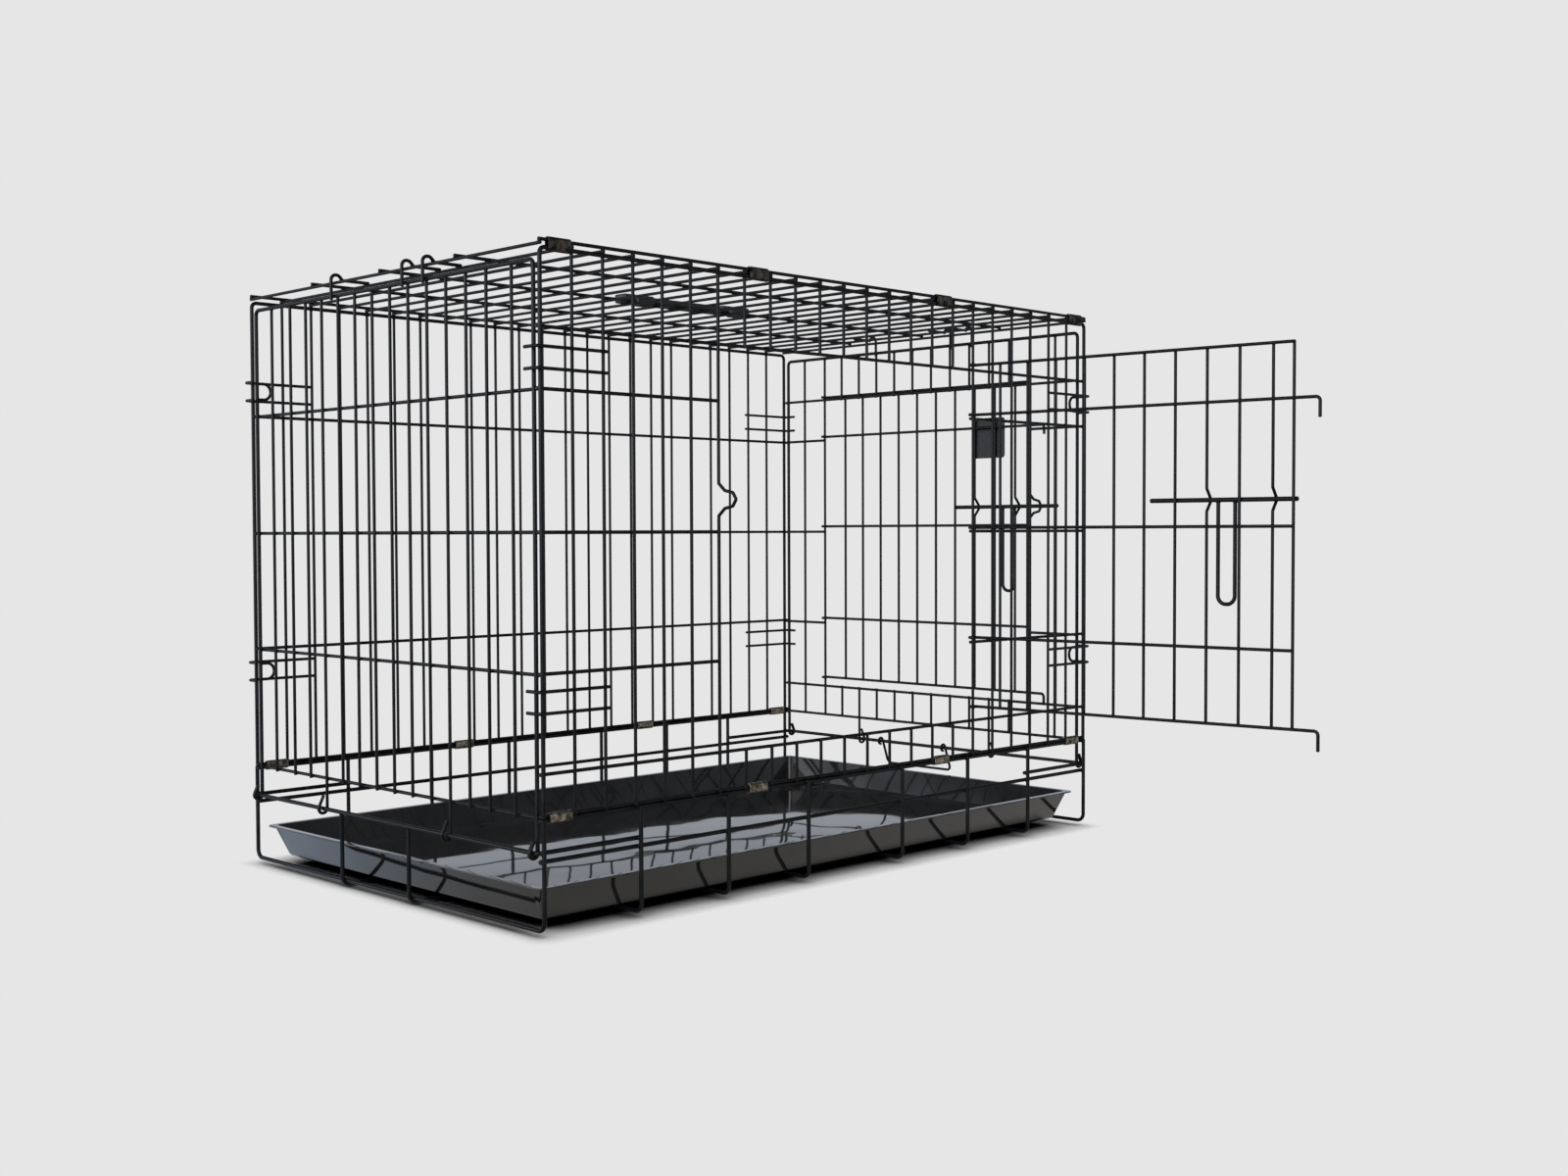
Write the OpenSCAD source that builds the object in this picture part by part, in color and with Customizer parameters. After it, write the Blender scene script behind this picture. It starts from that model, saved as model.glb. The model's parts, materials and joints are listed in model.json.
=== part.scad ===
// Folding wire pet crate with a tray, a door in one end and a door in the near long side.
// Millimetres. The origin is the middle of the footprint on the floor.
// X runs along the crate towards the end with the door.
// Y runs from the near side to the far side. Z is up.
//
// All wire is round. Crossing wires touch skin to skin, as welded wire does.
// On every panel the uprights lie outside the weld plane and the rails inside it,
// so each wire stays a body of its own and touches its neighbours at the welds.

/* [Crate] */
// Length over the corner posts of the long sides
crate_length = 766; // [600:1:1100]
// Width over the frame wires of the long sides
crate_width = 482; // [380:1:700]
// Height to the upper skin of the top panel
crate_height = 577; // [450:1:800]

/* [Wires] */
// Uprights and cross wires of the panels
bar_d = 3; // [2:0.1:5]
// Rails of the panels and doors
rail_d = 3.2; // [2:0.1:5]
// Frame wires and corner posts
frame_d = 3.8; // [2.5:0.1:6]
// Wires of the base
base_d = 4; // [3:0.1:6]
// Slide bolts
bolt_d = 4.5; // [3:0.1:7]
// Gap round every wire that turns or slides
run_gap = 0.3; // [0.1:0.05:1]
// Bend at the upper corners of the side and end frames
frame_bend = 10; // [5:0.5:30]
// Extra width of the round knuckle at a sharp kink
knuckle = 0.08; // [0.02:0.01:0.3]

/* [Base] */
// Top rails of the base walls
base_rail_z = 97.5; // [60:0.5:140]
// Middle rails of the base walls
base_mid_z = 63.5; // [30:0.5:80]
// End wires that carry the end panels
end_wire_z = 71; // [40:0.5:90]
// Bend at the corners of the end wires
end_corner = 3; // [2.5:0.5:12]
// First floor cross wire from the middle
inner_cross_x = 68; // [30:1:120]
// Bend where a cross wire turns up into the wall
base_bend = 8; // [4:0.5:30]
// Near floor runner
near_runner_y = -44; // [-150:1:-10]
// Far floor runner
far_runner_y = 70; // [10:1:150]
// Bend of the runners round the last cross wire
runner_bend = 3.5; // [2.5:0.5:4]

/* [Long sides] */
// Gaps between the corner posts, one upright in each inner place
side_gaps = 23; // [12:1:40]
// Upright at the bolt side of the doorway
keeper_bar = 6; // [2:1:12]
// Upright at the hinge side of the doorway
hinge_bar = 17; // [8:1:36]
// Lower rail of both doorways
doorway_low_z = 136; // [100:1:200]
// Upper rail of the side doorway
doorway_high_z = 505; // [350:1:600]
// Low rail of the long sides
side_low_rail_z = 219; // [150:1:260]
// Middle rail of the long sides and ends
mid_rail_z = 336; // [270:1:380]
// High rail of the long sides and ends
high_rail_z = 454; // [390:1:500]

/* [Ends] */
// How far the top rail of the end frames lies under that of the side frames
end_top_drop = 8.9; // [6:0.1:20]
// Lowest rail of the end panels
end_foot_z = 99; // [80:0.5:120]
// Low rail of the end panels
end_low_rail_z = 218; // [150:1:260]
// Upper rail of the front doorway
front_high_z = 506; // [350:1:600]
// Pitch of the end uprights
end_pitch = 29.8; // [20:0.1:45]
// Uprights on each half of an end, up to the doorway's edge
half_bars = 6; // [3:1:9]
// Distance of the outermost upright from the corner post
outer_bar_inset = 30.5; // [15:0.5:40]
// Upright whose foot is also an eye, counted from the middle
eye_bar = 4; // [2:1:6]
// How far the uprights stand out under the lowest rail
bar_overhang = 2; // [0:0.5:6]
// Turn of every wire eye
eye_turn = 262; // [200:1:300]

/* [Corner catches] */
// Upper pair of catch wires, middle height
upper_catch_z = 479; // [380:1:600]
// Lower pair of catch wires, middle height
lower_catch_z = 196; // [140:1:260]
// Half the distance between the two wires of a pair
catch_half = 9; // [5:0.5:20]
// How far in from the corner post a catch wire starts
catch_length = 68; // [40:1:100]
// How far the catch wire's tip stands out from the corner post
catch_out = 10; // [8:0.5:20]
// How far the tip reaches past the post of the end frame
catch_past = 4.5; // [2:0.5:15]
// Bend of the catch wires and of the door hooks
catch_bend = 4; // [3:0.5:10]
// How far a catch loop stands in from the end's post
loop_reach = 28; // [15:1:40]
// Half the height of a catch loop
loop_half = 8; // [5:0.5:15]
// Bend of the catch loops
loop_bend = 7; // [3:0.5:12]

/* [Top] */
// Nearest hook over an end panel
near_hook_y = -75; // [-200:1:-50]
// Middle hook over an end panel
mid_hook_y = -42; // [-48:1:40]
// Farthest hook over an end panel
far_hook_y = 79; // [50:1:200]
// Length of the hooks along the top
hook_length = 41; // [25:1:80]
// Distance of a hook's rise from its outer leg
hook_span = 10.9; // [9:0.1:25]
// Rise of the hooks
hook_rise = 7.6; // [7:0.1:20]
// How far a hook's tip hangs under the long wires
hook_drop = 19.4; // [12:0.1:40]
// Bend of the hooks
hook_bend = 3.5; // [2.5:0.1:6]

/* [Clips] */
// Width of a sheet-metal clip along the crate
clip_width = 23.5; // [10:0.5:30]
// Sheet of the clips
clip_sheet = 0.8; // [0.4:0.1:1.5]
// Distance of the outer clips from the corner posts
clip_inset = 19.3; // [17:0.1:21]
// Pitches of the uprights between the middle and the inner clips
mid_clip_pitch = 4; // [1:1:8]

/* [Doors] */
// Bars of a door between the hinge and the free edge
door_bars = 10; // [5:1:16]
// Angle at which the side door stands open
side_door_open = 95.5; // [0:0.5:165]
// Lowest rail of the side door
side_door_foot_z = 151; // [130:0.5:180]
// Low rail of the side door
side_door_low_z = 224; // [200:0.5:260]
// Middle rail of the side door
side_door_mid_z = 339.6; // [300:0.1:345]
// High rail of the side door
side_door_high_z = 458; // [400:0.5:480]
// Top rail of the side door
side_door_top_z = 510; // [490:0.5:540]
// First bar of the side door, from its hinge
side_door_first = 29.5; // [20:0.1:33]
// Gap between the free edge wire of the side door and the keeper's upright
side_edge_gap = 16.6; // [8:0.1:19]
// How far the side door's hooked rails reach past the keeper's upright
side_hook_past = 9.5; // [6:0.5:15]
// Drop of the side door's hooks
side_hook_drop = 19; // [8:0.5:30]
// Lowest rail of the front door
front_door_foot_z = 147; // [134:0.5:180]
// Low rail of the front door
front_door_low_z = 224; // [200:0.5:260]
// Middle rail of the front door
front_door_mid_z = 343; // [300:0.5:345]
// High rail of the front door
front_door_high_z = 459; // [400:0.5:480]
// Top rail of the front door
front_door_top_z = 509.8; // [490:0.1:540]
// Pitch of the front door's bars
front_door_pitch = 30.2; // [26:0.1:31.5]
// Gap between the free edge wire of the front door and the keeper's upright
front_edge_gap = 7.8; // [6:0.1:15]
// How far the front door's hooked rails reach past the keeper's upright
front_hook_past = 18.2; // [8:0.1:25]
// Drop of the front door's hooks
front_hook_drop = 11; // [8:0.5:30]

/* [Bolts] */
// Height of both bolts
bolt_z = 365; // [347:0.5:390]
// Length of a bolt
bolt_length = 151; // [100:1:220]
// How far the side door's bolt, drawn back, ends short of the keeper's upright
side_bolt_short = 13.5; // [8:0.5:16]
// How far the front door's bolt, pushed home, reaches past the keeper's upright
front_bolt_past = 32.7; // [10:0.1:40]
// First leg of a bolt's handle, back from the tip
grip_first = 62; // [40:1:90]
// Distance between the legs of a bolt's handle
grip_width = 18; // [12:1:30]
// Foot of the handles
grip_foot_z = 265; // [230:1:320]
// Bend of the handles
grip_bend = 6; // [3:0.5:9]
// First guide bar
first_guide = 8; // [4:1:12]
// Second guide bar
second_guide = 10; // [6:1:16]
// Half the height of a guide
guide_half = 11; // [8:0.5:20]
// Half the flat nose of a guide
guide_flat = 2; // [1.6:0.1:5]
// How far a keeper stands out from its upright
keeper_reach = 22.7; // [18:0.1:30]
// How far out the keeper's shoulders are
keeper_shoulder = 18.5; // [14:0.1:26]
// Half the height of the shoulders
shoulder_half = 6; // [4:0.1:10]
// How far out the keeper's throat is, and half its height
keeper_throat = 8; // [6:0.1:12]
// Half the height of a keeper
keeper_half = 14.6; // [10:0.1:24]

/* [Plate] */
// Distance of the blank plate's near edge from the front door's free edge
plate_inset = 82; // [60:1:200]
// Width of the plate
plate_width = 47; // [30:1:90]
// Lower edge of the plate
plate_z = 423; // [380:1:440]
// Height of the plate
plate_height = 48; // [20:1:60]
// Thickness of the plate
plate_sheet = 1.2; // [0.6:0.1:3]
// Corner of the plate
plate_corner = 4; // [1:0.5:12]

/* [Tray] */
// Gap between the rim and the last floor cross wires
tray_end_gap = 1.3; // [0.5:0.1:10]
// Gap between the rim and the rails of the base
tray_side_gap = 5; // [0.5:0.1:10]
// Upper face of the rim
tray_rim_z = 39.5; // [20:0.5:50]
// Width of the rim outside the walls
tray_lip = 5; // [2:0.5:12]
// Thickness of the rim
tray_lip_sheet = 1.6; // [1:0.1:4]
// How far the walls lean in down to the floor
tray_lean = 11; // [4:0.5:30]
// Thickness of the floor and walls
tray_sheet = 2; // [1.2:0.1:5]
// Corner of the tray's walls
tray_corner = 5; // [3:0.5:30]
// Corner of the tray's rim
tray_rim_corner = 7; // [3:0.5:35]

/* [Tray stop] */
// Near leg of the stop
stop_near_y = -30; // [-120:1:-10]
// Far leg of the stop
stop_far_y = 72; // [10:1:95]
// Length of the legs
stop_leg = 32.2; // [20:0.1:50]
// Lean of the legs away from the tray
stop_lean = 20; // [0:1:45]
// Bend of the stop
stop_bend = 6; // [3:0.5:15]

/* [Carry handle] */
// Half the length of the handle
handle_half = 90; // [80:1:98]
// Length of each end block
block_length = 42; // [30:1:60]
// Near edge of the blocks from the wire they turn on
block_start = 1; // [0:0.5:5]
// Near edge of the grip
grip_start = 8; // [5:0.5:20]
// Far edge of the handle
handle_edge = 20; // [12:0.5:40]
// Thickness of the handle
handle_thickness = 9; // [5:0.5:16]
// Radius of the lugs round the wire
lug_radius = 5.2; // [4:0.1:8]
// Length of the lugs
lug_length = 24; // [10:0.5:26]
// Corner of the handle's outline
handle_corner = 4; // [1:0.5:5]

/* [Hidden] */
$fn = 32;
touch = 0.01;

post_x = crate_length / 2 - frame_d / 2;
side_pitch = 2 * post_x / side_gaps;
weld_y = crate_width / 2 - frame_d;
side_y = weld_y + frame_d / 2;
side_bar_y = weld_y + bar_d / 2;
side_rail_y = weld_y - rail_d / 2;
base_rail_y = side_rail_y;
base_leg_y = base_rail_y + base_d;
catch_y = weld_y + frame_d + bar_d / 2;
clip_r = base_d / 2 + run_gap / 2;

top_long_z = crate_height - rail_d / 2;
top_cross_z = top_long_z - rail_d / 2 - bar_d / 2;
side_top_z = top_cross_z - bar_d / 2 - frame_d / 2;
side_foot_z = base_rail_z + base_d / 2 + rail_d / 2;
side_low_z = side_foot_z - rail_d / 2;
end_top_z = side_top_z - end_top_drop;
hook_tip_z = top_long_z - hook_drop;
runner_z = base_d / 2;
floor_wire_z = runner_z + base_d;
tray_z = floor_wire_z + base_d / 2;

hinge_x = post_x + frame_d / 2 + run_gap + base_d / 2;
end_cross_x = hinge_x - base_d;
base_end_x = end_cross_x + base_d / 2;
cross_step = (end_cross_x - inner_cross_x) / 3;
end_arm_x = inner_cross_x + 2 * cross_step - base_d / 2;
end_y = base_rail_y - clip_r - clip_sheet - run_gap - frame_d / 2;
outer_bar_y = end_y - outer_bar_inset;
end_weld_x = post_x - frame_d / 2;
end_bar_x = end_weld_x + bar_d / 2;
end_rail_x = end_weld_x - rail_d / 2;
end_rail_y = end_y + frame_d / 2;
front_hinge_y = end_pitch * (half_bars - 0.5);
catch_start_x = post_x - catch_length;
catch_tip_x = post_x + catch_out;
catch_tip_y = end_y - catch_past;
top_wire_y = side_y / 2;
hook_x = post_x + frame_d / 2 + run_gap + rail_d / 2;
hook_start_x = hook_x - hook_length;
hook_rise_x = hook_x - hook_span;
end_clip_x = post_x - clip_inset;
mid_clip_x = mid_clip_pitch * side_pitch;

door_eye_r = bar_d / 2 + run_gap + rail_d / 2;
door_bar_y = door_eye_r + rail_d / 2 + bar_d / 2;
bolt_y = door_bar_y + bar_d / 2 + run_gap + bolt_d / 2;
guide_y = bolt_y + bolt_d / 2 + run_gap + bar_d / 2;
side_doorway = (hinge_bar - keeper_bar) * side_pitch;
side_edge = side_doorway - side_edge_gap;
side_hook_reach = side_doorway + side_hook_past;
side_bolt_tip = side_doorway - side_bolt_short;
front_doorway = 2 * front_hinge_y;
front_edge = front_doorway - front_edge_gap;
front_hook_reach = front_doorway + front_hook_past;
front_bolt_tip = front_doorway + front_bolt_past;
plate_start = front_edge - plate_inset;
tray_length = 2 * (end_cross_x - base_d / 2 - tray_end_gap);
tray_width = 2 * (base_rail_y - base_d / 2 - tray_side_gap);
stop_eye_r = base_d / 2 + run_gap + bar_d / 2;
handle_z = top_long_z - rail_d / 2 + run_gap;
lug_x = 2 * side_pitch;

wire_black = "#26272b";
clip_zinc = "#c9c2ae";
tray_grey = "#565b63";
plate_black = "#1d1d1f";

function bar_at(k) = (k - side_gaps / 2) * side_pitch;
function unit(v) = v / norm(v);
function side_of(u) = unit(cross(u, abs(u[2]) > 0.9 ? [1, 0, 0] : [0, 0, 1]));
function turn(p, i) = acos(unit(p[i] - p[i - 1]) * unit(p[i + 1] - p[i]));
function trim(p, i, r) = (i == 0 || i == len(p) - 1) ? 0 : r * tan(turn(p, i) / 2);

// Places the children with their axes along x, y and z, and their origin at the given point.
module frame(x, y, z, at) {
  multmatrix([[x[0], y[0], z[0], at[0]],
              [x[1], y[1], z[1], at[1]],
              [x[2], y[2], z[2], at[2]],
              [0, 0, 0, 1]])
    children();
}

// One straight round wire.
module straight(a, b, d) {
  u = unit(b - a);
  s = side_of(u);
  frame(s, cross(u, s), u, a)
    cylinder(h = norm(b - a), d = d);
}

// One wire with a rounded bend at every inner point. The legs follow the axes.
module bent_wire(p, d, r) {
  for (i = [0:len(p) - 2]) {
    u = unit(p[i + 1] - p[i]);
    straight(p[i] + u * trim(p, i, r), p[i + 1] - u * trim(p, i + 1, r), d);
  }
  for (i = [1:len(p) - 2]) {
    u = unit(p[i] - p[i - 1]);
    v = unit(p[i + 1] - p[i]);
    n = unit(v - (u * v) * u);
    frame(-n, u, cross(-n, u), p[i] - u * trim(p, i, r) + n * r)
      rotate_extrude(angle = turn(p, i))
        translate([r, 0])
          circle(d = d);
  }
}

// One wire with sharp kinks, each with a round knuckle.
module kinked_wire(p, d) {
  for (i = [0:len(p) - 2])
    straight(p[i], p[i + 1], d);
  for (i = [1:len(p) - 2])
    translate(p[i])
      sphere(d = d + knuckle);
}

// Open wire eye. It starts on the x axis of its own frame and turns towards y.
module eye(r, d) {
  rotate_extrude(angle = eye_turn)
    translate([r, 0])
      circle(d = d);
}

module far_side() {
  mirror([0, 1, 0])
    children();
}

module right_side() {
  mirror([1, 0, 0])
    children();
}

// Base

module base_cross_wires() {
  for (x = [inner_cross_x, inner_cross_x + cross_step, inner_cross_x + 2 * cross_step, end_cross_x])
    for (s = [-1, 1])
      bent_wire([[s * x, -base_leg_y, side_low_z],
                 [s * x, -base_leg_y, floor_wire_z],
                 [s * x, base_leg_y, floor_wire_z],
                 [s * x, base_leg_y, side_low_z]], base_d, base_bend);
}

module base_rails(z) {
  for (s = [-1, 1])
    straight([-base_end_x, s * base_rail_y, z], [base_end_x, s * base_rail_y, z], base_d);
}

module base_end_wires() {
  for (s = [-1, 1])
    bent_wire([[s * end_arm_x, -base_rail_y, end_wire_z],
               [s * hinge_x, -base_rail_y, end_wire_z],
               [s * hinge_x, base_rail_y, end_wire_z],
               [s * end_arm_x, base_rail_y, end_wire_z]], base_d, end_corner);
}

// The runners lie under the cross wires. They turn up at the left end and meet the end wire.
module floor_runners() {
  for (y = [near_runner_y, far_runner_y])
    bent_wire([[base_end_x, y, runner_z],
               [-hinge_x, y, runner_z],
               [-hinge_x, y, end_wire_z - base_d / 2]], base_d, runner_bend);
}

// Long sides, written for the near one

module side_frame() {
  bent_wire([[-post_x, -side_y, side_low_z],
             [-post_x, -side_y, side_top_z],
             [post_x, -side_y, side_top_z],
             [post_x, -side_y, side_low_z]], frame_d, frame_bend);
}

module side_upright(k, z0, z1) {
  straight([bar_at(k), -side_bar_y, z0], [bar_at(k), -side_bar_y, z1], bar_d);
}

module side_rail(z, x0, x1) {
  straight([x0, -side_rail_y, z], [x1, -side_rail_y, z], rail_d);
}

module side_rail_full(z) {
  side_rail(z, -crate_length / 2, crate_length / 2);
}

module side_catches() {
  for (s = [-1, 1])
    for (z = [upper_catch_z, lower_catch_z])
      for (t = [-catch_half, catch_half])
        bent_wire([[s * catch_start_x, -catch_y, z + t],
                   [s * catch_tip_x, -catch_y, z + t],
                   [s * catch_tip_x, -catch_tip_y, z + t]], bar_d, catch_bend);
}

module near_bars() {
  top = side_top_z - frame_d / 2;
  for (k = [1:side_gaps - 1]) {
    if (k < keeper_bar || k >= hinge_bar)
      side_upright(k, side_low_z, top);
    if (k > keeper_bar && k < hinge_bar) {
      side_upright(k, side_low_z, doorway_low_z + rail_d / 2);
      side_upright(k, doorway_high_z - rail_d / 2, top);
    }
  }
}

module near_rails() {
  for (z = [side_foot_z, doorway_low_z, doorway_high_z])
    side_rail_full(z);
  for (z = [side_low_rail_z, mid_rail_z, high_rail_z]) {
    side_rail(z, -crate_length / 2, bar_at(keeper_bar) + bar_d / 2);
    side_rail(z, bar_at(hinge_bar) - bar_d / 2, crate_length / 2);
  }
}

module far_bars() {
  for (k = [1:side_gaps - 1])
    side_upright(k, side_low_z, side_top_z - frame_d / 2);
}

module far_rails() {
  for (z = [side_foot_z, side_low_rail_z, mid_rail_z, high_rail_z])
    side_rail_full(z);
}

// Outline of a keeper as distances out from the upright and heights from the bolt.
keeper_shape = [[0, -keeper_half],
                [keeper_throat, -keeper_throat],
                [keeper_shoulder, -shoulder_half],
                [keeper_reach, 0],
                [keeper_shoulder, shoulder_half],
                [keeper_throat, keeper_throat],
                [0, keeper_half]];

module side_bolt_keeper() {
  x = bar_at(keeper_bar);
  bump = [for (p = keeper_shape) [x, -side_bar_y - p[0], bolt_z + p[1]]];
  kinked_wire(concat([[x, -side_bar_y, side_low_z]],
                     bump,
                     [[x, -side_bar_y, side_top_z - frame_d / 2]]), bar_d);
}

// Sheet-metal clip that wraps two parallel wires, one above the other.
module clip(x, y, z0, z1, r) {
  frame([0, 1, 0], [0, 0, 1], [1, 0, 0], [x - clip_width / 2, y, z0])
    linear_extrude(height = clip_width)
      difference() {
        racetrack(z1 - z0, r + clip_sheet);
        racetrack(z1 - z0, r);
      }
}

module racetrack(h, r) {
  circle(r = r);
  translate([0, h])
    circle(r = r);
  translate([-r, 0])
    square([2 * r, h]);
}

module lower_clips() {
  for (x = [-end_clip_x, -mid_clip_x, mid_clip_x, end_clip_x])
    clip(x, -base_rail_y, base_rail_z, side_foot_z, clip_r);
}

module near_upper_clips() {
  for (x = [-end_clip_x, -mid_clip_x, mid_clip_x, end_clip_x])
    clip(x, -side_y, side_top_z, top_long_z, frame_d / 2 + run_gap / 2);
}

// Top panel

module top_cross_wires() {
  for (k = [0:side_gaps])
    straight([bar_at(k), -crate_width / 2, top_cross_z], [bar_at(k), crate_width / 2, top_cross_z], bar_d);
}

module top_long_wires() {
  end_x = post_x + bar_d / 2;
  for (y = [-side_y, -top_wire_y, 0, top_wire_y, side_y])
    straight([-end_x, y, top_long_z], [end_x, y, top_long_z], rail_d);
}

module top_hooks() {
  for (s = [-1, 1])
    for (y = [near_hook_y, mid_hook_y, far_hook_y])
      bent_wire([[s * hook_start_x, y, top_long_z],
                 [s * hook_rise_x, y, top_long_z],
                 [s * hook_rise_x, y, top_long_z + hook_rise],
                 [s * hook_x, y, top_long_z + hook_rise],
                 [s * hook_x, y, hook_tip_z]], rail_d, hook_bend);
}

// The handle lies flat on the cross wires. Its lugs turn on the middle long wire.
module carry_handle() {
  difference() {
    union() {
      translate([0, 0, handle_z])
        linear_extrude(height = handle_thickness)
          handle_outline();
      for (s = [-1, 1])
        frame([0, 1, 0], [0, 0, 1], [1, 0, 0], [s * lug_x - lug_length / 2, 0, top_long_z])
          cylinder(h = lug_length, r = lug_radius);
    }
    frame([0, 1, 0], [0, 0, 1], [1, 0, 0], [-handle_half - 1, 0, top_long_z])
      cylinder(h = 2 * handle_half + 2, r = rail_d / 2 + run_gap);
  }
}

module handle_outline() {
  for (s = [-1, 1])
    translate([s * (handle_half - block_length / 2), (block_start + handle_edge) / 2])
      rounded(block_length, handle_edge - block_start, handle_corner);
  translate([0, (grip_start + handle_edge) / 2])
    square([2 * handle_half - block_length, handle_edge - grip_start], center = true);
}

// Rounded rectangle round the origin.
module rounded(x, y, r) {
  square([x - 2 * r, y], center = true);
  square([x, y - 2 * r], center = true);
  for (i = [-1, 1])
    for (j = [-1, 1])
      translate([i * (x / 2 - r), j * (y / 2 - r)])
        circle(r = r);
}

// End panels, written for the left one

module end_eye(x, y, d) {
  frame([1, 0, 0], [0, 0, -1], [0, 1, 0], [-hinge_x, y, end_wire_z])
    eye(hinge_x - x, d);
}

module end_frame() {
  bent_wire([[-post_x, -end_y, end_wire_z],
             [-post_x, -end_y, end_top_z],
             [-post_x, end_y, end_top_z],
             [-post_x, end_y, end_wire_z]], frame_d, frame_bend);
  for (y = [-end_y, end_y])
    end_eye(post_x, y, frame_d);
}

module end_upright(y, z0, z1) {
  straight([-end_bar_x, y, z0], [-end_bar_x, y, z1], bar_d);
}

module end_rail(z, y0, y1) {
  straight([-end_rail_x, y0, z], [-end_rail_x, y1, z], rail_d);
}

module end_rail_full(z) {
  end_rail(z, -end_rail_y, end_rail_y);
}

module catch_loops() {
  x = post_x - frame_d / 2;
  for (y = [-end_y, end_y])
    for (z = [upper_catch_z, lower_catch_z])
      bent_wire([[-x, y, z - loop_half],
                 [loop_reach - x, y, z - loop_half],
                 [loop_reach - x, y, z + loop_half],
                 [-x, y, z + loop_half]], bar_d, loop_bend);
}

module left_end_bars() {
  foot = end_foot_z - bar_overhang;
  top = end_top_z - frame_d / 2;
  for (s = [-1, 1]) {
    end_upright(s * outer_bar_y, foot, top);
    for (k = [1:half_bars]) {
      y = s * end_pitch * (k - 0.5);
      end_upright(y, k == eye_bar ? end_wire_z : foot, top);
      if (k == eye_bar)
        end_eye(end_bar_x, y, bar_d);
    }
  }
}

module left_end_rails() {
  for (z = [end_foot_z, end_low_rail_z, mid_rail_z, high_rail_z])
    end_rail_full(z);
}

module right_end_bars() {
  foot = end_foot_z - bar_overhang;
  top = end_top_z - frame_d / 2;
  low = doorway_low_z + rail_d / 2;
  high = front_high_z - rail_d / 2;
  end_upright(front_hinge_y, foot, top);
  for (s = [-1, 1]) {
    end_upright(s * outer_bar_y, foot, top);
    for (k = [1:half_bars - 1]) {
      y = s * end_pitch * (k - 0.5);
      end_upright(y, k == eye_bar ? end_wire_z : foot, low);
      end_upright(y, high, top);
      if (k == eye_bar)
        end_eye(end_bar_x, y, bar_d);
    }
  }
}

module right_end_rails() {
  for (z = [end_foot_z, doorway_low_z, front_high_z])
    end_rail_full(z);
  for (z = [end_low_rail_z, mid_rail_z, high_rail_z]) {
    end_rail(z, -end_rail_y, bar_d / 2 - front_hinge_y);
    end_rail(z, front_hinge_y - bar_d / 2, end_rail_y);
  }
}

module front_bolt_keeper() {
  bump = [for (p = keeper_shape) [-end_bar_x - p[0], -front_hinge_y, bolt_z + p[1]]];
  kinked_wire(concat([[-end_bar_x, -front_hinge_y, end_foot_z - bar_overhang]],
                     bump,
                     [[-end_bar_x, -front_hinge_y, end_top_z - frame_d / 2]]), bar_d);
}

// Doors, written with the hinge on the z axis, the door along x and its outer face towards y

module on_side_door() {
  translate([bar_at(hinge_bar), -side_bar_y, 0])
    rotate([0, 0, 180 + side_door_open])
      children();
}

module on_front_door() {
  translate([end_bar_x, front_hinge_y, 0])
    rotate([0, 0, -90])
      children();
}

module door_eye(z) {
  frame([0, 1, 0], [-1, 0, 0], [0, 0, 1], [0, 0, z])
    eye(door_eye_r, rail_d);
}

module door_rail(z, reach) {
  door_eye(z);
  straight([0, door_eye_r, z], [reach, door_eye_r, z], rail_d);
}

module door_hooked_rail(z, reach, drop) {
  door_eye(z);
  bent_wire([[0, door_eye_r, z],
             [reach, door_eye_r, z],
             [reach, door_eye_r, z - drop]], rail_d, catch_bend);
}

module door_bar(x, z0, z1) {
  straight([x, door_bar_y, z0], [x, door_bar_y, z1], bar_d);
}

module door_plain_bars(first, pitch, edge, z0, z1) {
  for (k = [1:door_bars])
    if (k != first_guide && k != second_guide)
      door_bar(first + (k - 1) * pitch, z0, z1);
  door_bar(edge, z0, z1);
}

// Bars that bulge round the bolt and keep it on the door.
module door_guides(first, pitch, z0, z1) {
  for (x = [first + (first_guide - 1) * pitch, first + (second_guide - 1) * pitch])
    kinked_wire([[x, door_bar_y, z0],
                 [x, door_bar_y, bolt_z - guide_half],
                 [x, guide_y, bolt_z - guide_flat],
                 [x, guide_y, bolt_z + guide_flat],
                 [x, door_bar_y, bolt_z + guide_half],
                 [x, door_bar_y, z1]], bar_d);
}

module bolt(tip) {
  straight([tip - bolt_length, bolt_y, bolt_z], [tip, bolt_y, bolt_z], bolt_d);
}

module bolt_handle(tip) {
  top = bolt_z - bolt_d / 2;
  near = tip - grip_first;
  far = near - grip_width;
  bent_wire([[near, bolt_y, top],
             [near, bolt_y, grip_foot_z],
             [far, bolt_y, grip_foot_z],
             [far, bolt_y, top]], bar_d, grip_bend);
}

module side_door_rails() {
  for (z = [side_door_low_z, side_door_mid_z, side_door_top_z])
    door_rail(z, side_edge + bar_d / 2);
  for (z = [side_door_foot_z, side_door_high_z])
    door_hooked_rail(z, side_hook_reach, side_hook_drop);
}

module front_door_rails() {
  for (z = [front_door_low_z, front_door_mid_z, front_door_top_z])
    door_rail(z, front_edge + bar_d / 2);
  for (z = [front_door_foot_z, front_door_high_z])
    door_hooked_rail(z, front_hook_reach, front_hook_drop);
}

module front_plate() {
  y = door_bar_y + bar_d / 2;
  frame([1, 0, 0], [0, 0, 1], [0, -1, 0],
        [plate_start + plate_width / 2, y + plate_sheet, plate_z + plate_height / 2])
    linear_extrude(height = plate_sheet)
      rounded(plate_width, plate_height, plate_corner);
}

// Tray

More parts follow.
